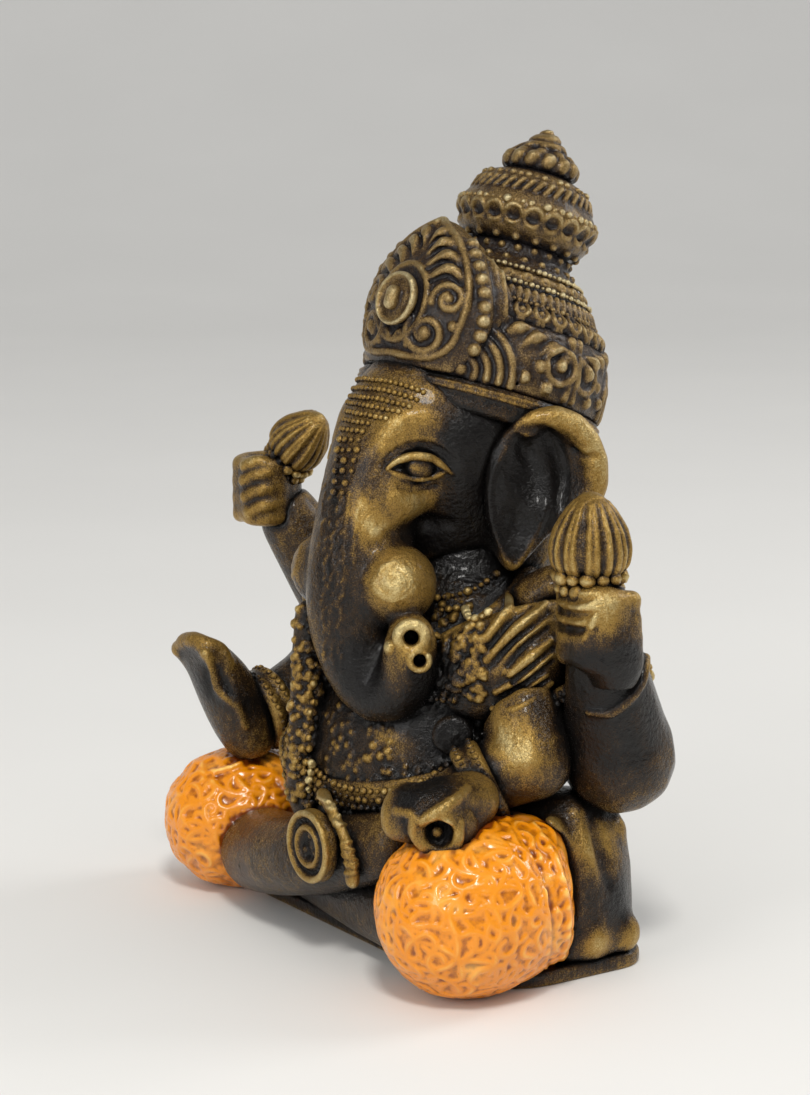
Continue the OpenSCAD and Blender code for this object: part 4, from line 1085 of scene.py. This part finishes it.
# %% Shawls
PLEATS = (
    ([(11.0, 37.0), (9.8, 36.2), (8.3, 35.0)], (0.15, 0.28, 0.15)),
    ([(12.4, 37.0), (9.8, 35.2), (7.8, 32.9)], (0.25, 0.55, 0.45)),
    ([(11.8, 35.4), (10.2, 34.1), (8.4, 32.4)], (0.1, 0.2, 0.1)),
    ([(13.6, 35.9), (10.4, 33.6), (7.8, 30.8)], (0.25, 0.5, 0.4)),
    ([(13.4, 34.5), (11.2, 32.9), (9.5, 31.1)], (0.15, 0.4, 0.15)),
    ([(12.0, 32.1), (10.6, 30.9), (9.4, 29.6)], (0.1, 0.22, 0.1)),
    ([(14.0, 32.5), (12.0, 31.1), (10.0, 29.4)], (0.25, 0.55, 0.3)),
    ([(13.9, 31.2), (11.6, 29.4), (8.7, 27.6)], (0.2, 0.4, 0.3)),
    ([(13.7, 29.1), (12.2, 28.4), (10.3, 27.4)], (0.15, 0.3, 0.15)),
    ([(14.1, 28.3), (12.4, 27.2), (10.4, 26.2), (8.4, 26.0)], (0.3, 0.5, 0.6, 0.3)),
)
under = block("left_shawl", "left_upper_arm", "torso", width=0.8, skin=-0.1)
clusters = lumps(under, (2.6, 26.4), (7.6, 35.2), 180, (0.22, 0.55), 0.1)
pleats = [sketch(under, keys, radii, 0.05) for keys, radii in PLEATS]
gaps = [sketch(under, [(a + 0.35, z - 0.75) for a, z in keys], 0.28, 0.1)
        for keys, radii in PLEATS if radii[1] > 0.35]
for side, place in BODY_SIDES:
    shawl = block(side + "_shawl", width=0.8, skin=-0.05)
    shawl.ridges(moved(clusters, place), blend=0.2)
    shawl.ridges(moved(pleats, place))
    shawl.grooves(moved(gaps, place), blend=0.25)
    cast(shawl, "gilt_patina")

# %% [markdown]
# Garland, necklace and belt are clusters of beads and small loops, pressed on one by one.

# %% Garland, necklace and belt
garland = block("garland", width=0.35)
flowers = (lumps(garland, (-5.8, 14.0), (-1.0, 34.0), 210, (0.22, 0.42), azimuth=25)
           + lumps(garland, (-12.0, 14.0), (-6.4, 34.0), 260, (0.25, 0.55)))
garland.ridges(flowers, blend=0.15)
cast(garland)
rows = [from_side(garland, curve([(x, 33.6), (x - 0.2, 24.0), (x + 0.2, 14.0)]), 20)
        for x in (-4.2, -2.6)]
string_beads("garland_beads", rows, radius=0.3, spacing=1.1, uneven=0.5)

chest = block("torso", "left_shawl", "necklace", skin=0.1)
necklace = block("necklace")
necklace.ridges(pair(clusters, mirrored), blend=0.2)
cast(necklace, "gilt_patina")
rows = [sketch(chest, keys, 0, 0.15)[0] for keys in (
    [(3.2, 35.0), (5.0, 35.4), (7.0, 36.0), (9.0, 37.0)],
    [(3.6, 34.0), (5.2, 34.3), (7.0, 34.6), (8.0, 35.2)],
    [(-1.6, 26.4), (0.4, 26.0), (2.4, 26.3), (4.4, 26.6)],
)]
string_beads("necklace_beads", rows + [mirrored(row) for row in rows[:2]], radius=0.36,
             spacing=0.72, uneven=0.4)

cast(block("belt", width=0.2, skin=0.25), "gilt_patina")
waist = block("torso", "belt", "garland", width=0.4)
waist_line = np.array([(-10.5, 17.0), (-8.0, 15.6), (-5.0, 15.2), (-1.6, 15.6), (1.6, 16.8),
                       (4.6, 18.6), (7.4, 20.8), (9.6, 22.6)])
rows = [sketch(waist, waist_line + (0, rise), 0, 0.1)[0] for rise in (-0.9, 0.0, 0.9, 1.8)]
string_beads("belt_beads", rows + [mirrored(row) for row in rows], radius=0.36,
             spacing=0.76, uneven=0.3)
clasp = block("belt_clasp", width=0.3, skin=0.1)
clasp.ridges(lumps(clasp, (9.8, 20.4), (14.4, 24.8), 60, (0.25, 0.6), 0.05, 72), blend=0.2)
cast(clasp)

# %% [markdown]
# A round ornament lies on the crossed ankles, its rim doubled and beaded, and a sash hangs beside
# it with a tassel at its end.

# %% Medallion and sash
medallion = block("medallion", width=0.25, skin=0.1)
centre = np.array([4.9, -13.5, 11.6])


def on_medallion(radius, rise=0.0):
    """A circle on the face of the ornament."""
    ring = centre + circle(60, (radius, 0, 0), (0, 0, radius)) - (0, 6.0, 0)
    return medallion.drop(ring, (0, 1, 0), rise)


studs = [medallion.snap(centre + np.array([[math.cos(a), -1.0, math.sin(a)]]))
         for a in np.radians([90, 210, 330])]
medallion.ridges([(on_medallion(3.3), 0.35), (on_medallion(1.9), 0.32)]
                 + [(stud, 0.35) for stud in studs], blend=0.15)
medallion.grooves([(on_medallion(2.6), 0.3)], blend=0.15)
cast(medallion)
string_beads("medallion_beads", [on_medallion(2.6, rise=-0.1)], radius=0.26, spacing=0.7)
sash = block("sash_tail", width=0.35, skin=-0.2)
threads = scratches(sash, (-7.6, 9.8), (-3.6, 16.0), 26, 2.2, 0.22, azimuth=50, seed=5)
sash.ridges(threads, blend=0.15)
cast(sash)

# %% [markdown]
# The knees are wrapped in cloth that is covered with small curls in relief. They are set out like
# the seeds of a sunflower, which fills a round form evenly, and each winds its own way. The cloth
# ends in a rolled hem.

# %% Knees
GOLDEN_ANGLE = 2.39996


def curls(clay, middle, reach, pitch, seed):
    """Curls all over a rounded form."""
    rng = np.random.default_rng(seed)
    count = int(4 * math.pi * reach ** 2 / pitch ** 2)
    up = 1 - 2 * (np.arange(count) + 0.5) / count
    angles = np.arange(count) * GOLDEN_ANGLE
    flat = np.sqrt(1 - up ** 2)
    ways = np.stack([flat * np.cos(angles), flat * np.sin(angles), up], 1)
    places = clay.snap(middle + ways * reach)
    strokes = []
    for place, out in zip(places, clay.normal(places)):
        side = unit(np.cross(out, (0.2, 0.3, 1.0)))
        above = np.cross(out, side)
        angle, wind = rng.uniform(0, 2 * math.pi), rng.choice([-1, 1])
        head = spiral((0, 0), 0.5 * pitch, 0.22 * pitch, 0, wind * rng.uniform(0.35, 0.9))
        tail = np.array([(-0.7, -1.7 * wind), (0.1, -1.3 * wind), (0.55, -0.7 * wind)])
        drawing = curve(np.vstack([tail * pitch * rng.uniform(0.6, 1.3), head[::4]]))
        c, s = math.cos(angle), math.sin(angle)
        drawing = drawing @ np.array([[c, s], [-s, c]]) * rng.uniform(0.85, 1.3)
        strokes.append(place + drawing[:, :1] * side + drawing[:, 1:] * above)
    lengths = np.cumsum([len(stroke) for stroke in strokes])[:-1]
    snapped = np.split(clay.snap(np.vstack(strokes), -0.08), lengths)
    return [(stroke, (0.12, 0.32, 0.34, 0.25)) for stroke in snapped]


HEMS = {
    "left": ([(9.8, 17.4), (11.6, 16.4), (13.4, 14.6), (14.6, 12.0), (15.2, 9.0), (15.3, 6.0),
              (15.0, 3.4), (15.2, 1.8)], [(5.2, 15.6), (6.8, 16.8), (8.4, 17.8), (9.8, 17.4)]),
    "right": ([(-20.2, 13.2), (-18.4, 13.4), (-16.0, 14.2), (-13.6, 14.9)],
              [(-13.0, 13.0), (-11.6, 11.0), (-11.2, 9.4)]),
}
# What the left cloth is cut back by, so that its hem stands out from the haunch
CUT = [(28.2, 5.8, -1.0), (28.0, 5.6, 4.0), (27.8, 5.4, 9.0), (27.2, 5.0, 18.0)]
for side, middle, reach in (("left", (21.3, -7.7, 8.0), 8.4), ("right", (-21.3, -7.7, 7.0), 7.4)):
    knee = block(side + "_knee_cloth", skin=-0.02)
    if side == "left":
        knee.grooves([(CUT, (3.7, 4.0, 4.4, 4.8))], blend=1.2)
    knee.ridges(curls(knee, middle, reach, pitch=2.0, seed=3))
    hem = HEMS[side]
    knee.ridges([sketch(knee, keys, (0.3, 0.6, 0.65, 0.6, 0.5), -0.2) for keys in hem], blend=0.35)
    gap = np.array(hem[0]) - (1.15, 0.3)
    knee.grooves([sketch(knee, gap, (0.1, 0.4, 0.4, 0.35, 0.2), 0.1)])
    cast(knee, "orange_enamel")

# %% [markdown]
# Shins, haunches and the seat are smooth masses, blackened in their folds. Under them lies the
# thin foot plate, whose edge still shows how the casting ran out of the mould.

# %% Legs, seat and foot plate
haunch = block("left_haunch", width=0.6)
folds = [sketch(haunch, fold, (0.8, 1.2, 0.5), -0.7) for fold in (
    [(16.6, 15.6), (17.4, 12.6), (18.2, 9.0)], [(19.4, 17.0), (20.6, 14.6), (21.6, 12.0)])]
gap = sketch(haunch, [(18.0, 16.4), (19.0, 13.0), (20.0, 9.0)], (0.3, 0.8, 0.5), 0.35)
for side, place in BODY_SIDES:
    cast(block(side + "_shin"))
    haunch = block(side + "_haunch", width=0.6)
    haunch.ridges(moved(folds, place), blend=0.8)
    haunch.grooves(moved([gap], place), blend=0.8)
    cast(haunch)
cast(block("seat", width=0.6))
cast(block("foot_plate", width=0.25, skin=0.1), "plate_patina")

# %% [markdown]
# Now every cast is in the grid. Blurred a little, it tells how full the space is close to a point,
# and blurred more, how full it is further round. Where it is emptier than half, the point stands
# proud and takes gold. Listed dabs then add gold or black. The gold ones on the belly, the left
# elbow, the left tusk and the middle of the eye are painted highlight, and the black one under the
# trunk's tip is painted shadow.

# %% Rubbed gold, painted highlight and painted shadow
CLOSE, ROUND = 0.4, 1.3
FINE_GOLD, WIDE_GOLD, BEADS_LESS = 2.2, 1.0, 0.4
# Places, reach and how much gold (above zero) or black (below) each dab leaves; a few are painted
# highlight and one is painted shadow
BRUSH_AND_PAINTED_LIGHT = [
    ([(5.8, -4.5, 52.0), (7.4, -2.5, 51.8)], 2.6, 0.35),
    ([(6.5, -3.2, 45.1), (7.3, -1.9, 46.4)], 2.4, 0.4),
    ([(9.6, 0.6, 51.0), (9.2, 1.8, 47.4), (8.2, 3.2, 43.0), (6.4, 2.2, 40.6)], 3.0, -0.9),
    ([(6.2, -1.5, 41.2), (7.2, 0.5, 41.0)], 1.8, -0.8),
    ([(11.5, 8.5, 54.3), (15.2, 11.4, 51.8), (15.9, 12.2, 48.9)], 2.4, 0.2),
    ([(11.1, 7.2, 49.6), (12.3, 8.2, 44.8), (10.6, 5.2, 41.8), (10.4, 5.6, 46.0)], 3.0, -0.7),
    ([(5.2, -8.7, 44.4), (6.2, -7.7, 42.5)], 1.6, 0.5),
    ([(2.4, -9.3, 47.0), (3.6, -11.2, 39.5), (4.5, -11.2, 33.7), (5.7, -10.3, 29.9)], 2.6, -0.3),
    # Black under the curled tip of the trunk: painted shadow.
    ([(6.3, -9.2, 28.0), (8.6, -7.6, 25.6), (11.4, -6.0, 26.6), (12.6, -5.4, 28.6)], 2.6, -0.75),
    ([(6.6, -3.2, 48.5)], 1.5, -0.7),
    # A small gold dot in the middle of the eyeball: painted highlight.
    ([(7.4, -4.0, 48.6)], 0.6, 0.5),
    ([(27.2, 2.6, 31.0), (28.6, 4.4, 31.4)], 2.6, -1.1),
    ([(13.8, -3.5, 22.8)], 2.4, -0.9),
    # Gold on the left tusk: painted highlight.
    ([(9.5, -7.6, 38.1)], 2.6, 0.5),
    ([(11.2, -6.9, 32.7)], 2.2, 0.3),
    ([(6.4, 3.5, 38.3), (8.3, 5.7, 36.4)], 3.0, -0.3),
    # Gold on the belly: painted highlight.
    ([(8.3, -7.4, 22.5)], 2.0, 0.5),
    # Gold on the left forearm at the elbow: painted highlight.
    ([(21.1, -1.1, 22.9), (19.5, -1.6, 23.6)], 2.2, 0.7),
    ([(20.3, -10.6, 20.6), (19.6, -12.0, 19.6)], 2.0, -0.9),
    ([(22.7, 8.7, 13.8), (24.5, 3.0, 13.0)], 2.6, 0.35),
    ([(28.1, 2.9, 37.2)], 2.2, 0.5),
    ([(24.0, 9.0, 6.9)], 2.4, -0.4),
    ([(27.6, 8.2, 25.8), (25.9, 6.0, 21.9), (26.6, 4.2, 30.1)], 4.0, -0.3),
    ([(-15.6, -8.9, 21.3), (-19.0, -12.6, 23.0)], 2.0, -0.3),
    ([(25.2, 5.3, 3.4), (24.9, 9.8, 3.0)], 1.6, 0.4),
]

crisp, broad = (blurred(fullness, width, WEAR, 2.5) for width in (CLOSE, ROUND))
for name, piece in pieces.items():
    corners = np.empty(len(piece.data.vertices) * 3, np.float32)
    piece.data.vertices.foreach_get("co", corners)
    corners = corners.reshape(-1, 3) / MM
    fine, wide = (0.5 - sample(field, corners / WEAR - wear_start) for field in (crisp, broad))
    proud_and_painted_light = 0.5 + FINE_GOLD * fine + WIDE_GOLD * wide - BEADS_LESS * name.endswith("_beads")
    for places, reach, amount in BRUSH_AND_PAINTED_LIGHT:
        line = curve(places, 1.0) if len(places) > 1 else np.array(places)
        away = np.min([np.linalg.norm(corners - place, axis=1) for place in line], axis=0)
        proud_and_painted_light += amount * np.exp(-(away / reach) ** 2)
    for label, values in (("proud_and_painted_light", proud_and_painted_light), ("hollow", -fine)):
        attribute = piece.data.attributes.new(label, "FLOAT", "POINT")
        attribute.data.foreach_set("value", values.astype(np.float32))
print("dabs of the brush:", len(BRUSH_AND_PAINTED_LIGHT))

# %% [markdown]
# The figure stands on a pale sheet that sweeps up behind it. A small bright lamp high in front
# makes the gold glint, two larger ones fill and edge it, and the sky is dim where it is mirrored.

# %% Floor, light and camera
AIM = Vector((0, 0, 0.039))
AWAY = Vector((0.814, -0.549, 0.191)).normalized()
LENS, CAMERA_AWAY = 98.6, 0.30
# The floor runs flat under the figure and half a metre behind it, then sweeps up
FLAT, BEND = 0.5, 0.8
BACK = np.array([-0.83, 0.56])
sweep = [(-3.0, 0.0), (FLAT, 0.0)]
sweep += [(FLAT + BEND * math.sin(a), BEND - BEND * math.cos(a))
          for a in np.radians(range(6, 61, 6))]
sweep += [(2.2, 2.15)]
corners = [(*(BACK * away + side * 3 * BACK[::-1] * (1, -1)), height - 0.00002)
           for away, height in sweep for side in (-1, 1)]
mesh = bpy.data.meshes.new("floor")
mesh.from_pydata(corners, [], [(k, k + 1, k + 3, k + 2) for k in range(0, len(corners) - 2, 2)])
mesh.shade_smooth()
floor = placed("floor", mesh)
floor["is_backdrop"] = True
paint, graph = new_paint("pale_floor")
pale = graph.mix(graph.noise(60.0, 2.0), colour("d9d8d5"), colour("dfdedb"))
graph.finish(base_color=pale, roughness=0.7)
mesh.materials.append(paint)

world = bpy.data.worlds.new("studio")
world.use_nodes = True
bpy.context.scene.world = world
graph = Graph(world.node_tree)
plain = graph.node("Background", {}, {"Color": (1, 1, 1, 1), "Strength": 0.7})
dim = graph.node("Background", {}, {"Color": (0.95, 0.96, 1.0, 1), "Strength": 0.12})
mirrored_ray = graph.node("LightPath")["Is Glossy Ray"]
sky = graph.node("MixShader", {}, {0: mirrored_ray, 1: plain["Background"],
                                   2: dim["Background"]})
graph.node("OutputWorld", {}, {"Surface": sky["Shader"]})


def lamp(name, place, power, size, tint=(1, 1, 1)):
    """A square soft box that shines at the middle of the figure."""
    data = bpy.data.lights.new(name, "AREA")
    data.energy = power
    data.size = size
    data.color = tint
    made = placed(name, data)
    made.location = place
    made.rotation_euler = (AIM - Vector(place)).to_track_quat("-Z", "Y").to_euler()


lamp("key", (0.26, -0.16, 0.42), 1.25, 0.09, (1.0, 0.98, 0.94))
lamp("fill", (0.10, -0.42, 0.20), 0.4, 0.16)
lamp("rim", (0.10, 0.40, 0.30), 0.7, 0.16)

camera = placed("camera", bpy.data.cameras.new("camera"))
camera.data.lens = LENS
camera.location = AIM + AWAY * CAMERA_AWAY
camera.rotation_euler = (-AWAY).to_track_quat("-Z", "Y").to_euler()
bpy.context.scene.camera = camera
bpy.context.scene.view_settings.view_transform = "Standard"
print("camera:", [round(value, 3) for value in camera.location])

# %% [markdown]
# Last, the number of triangles in all the pieces is printed.

# %% Size
print("triangles:", sum(len(p.vertices) - 2 for o in pieces.values() for p in o.data.polygons))
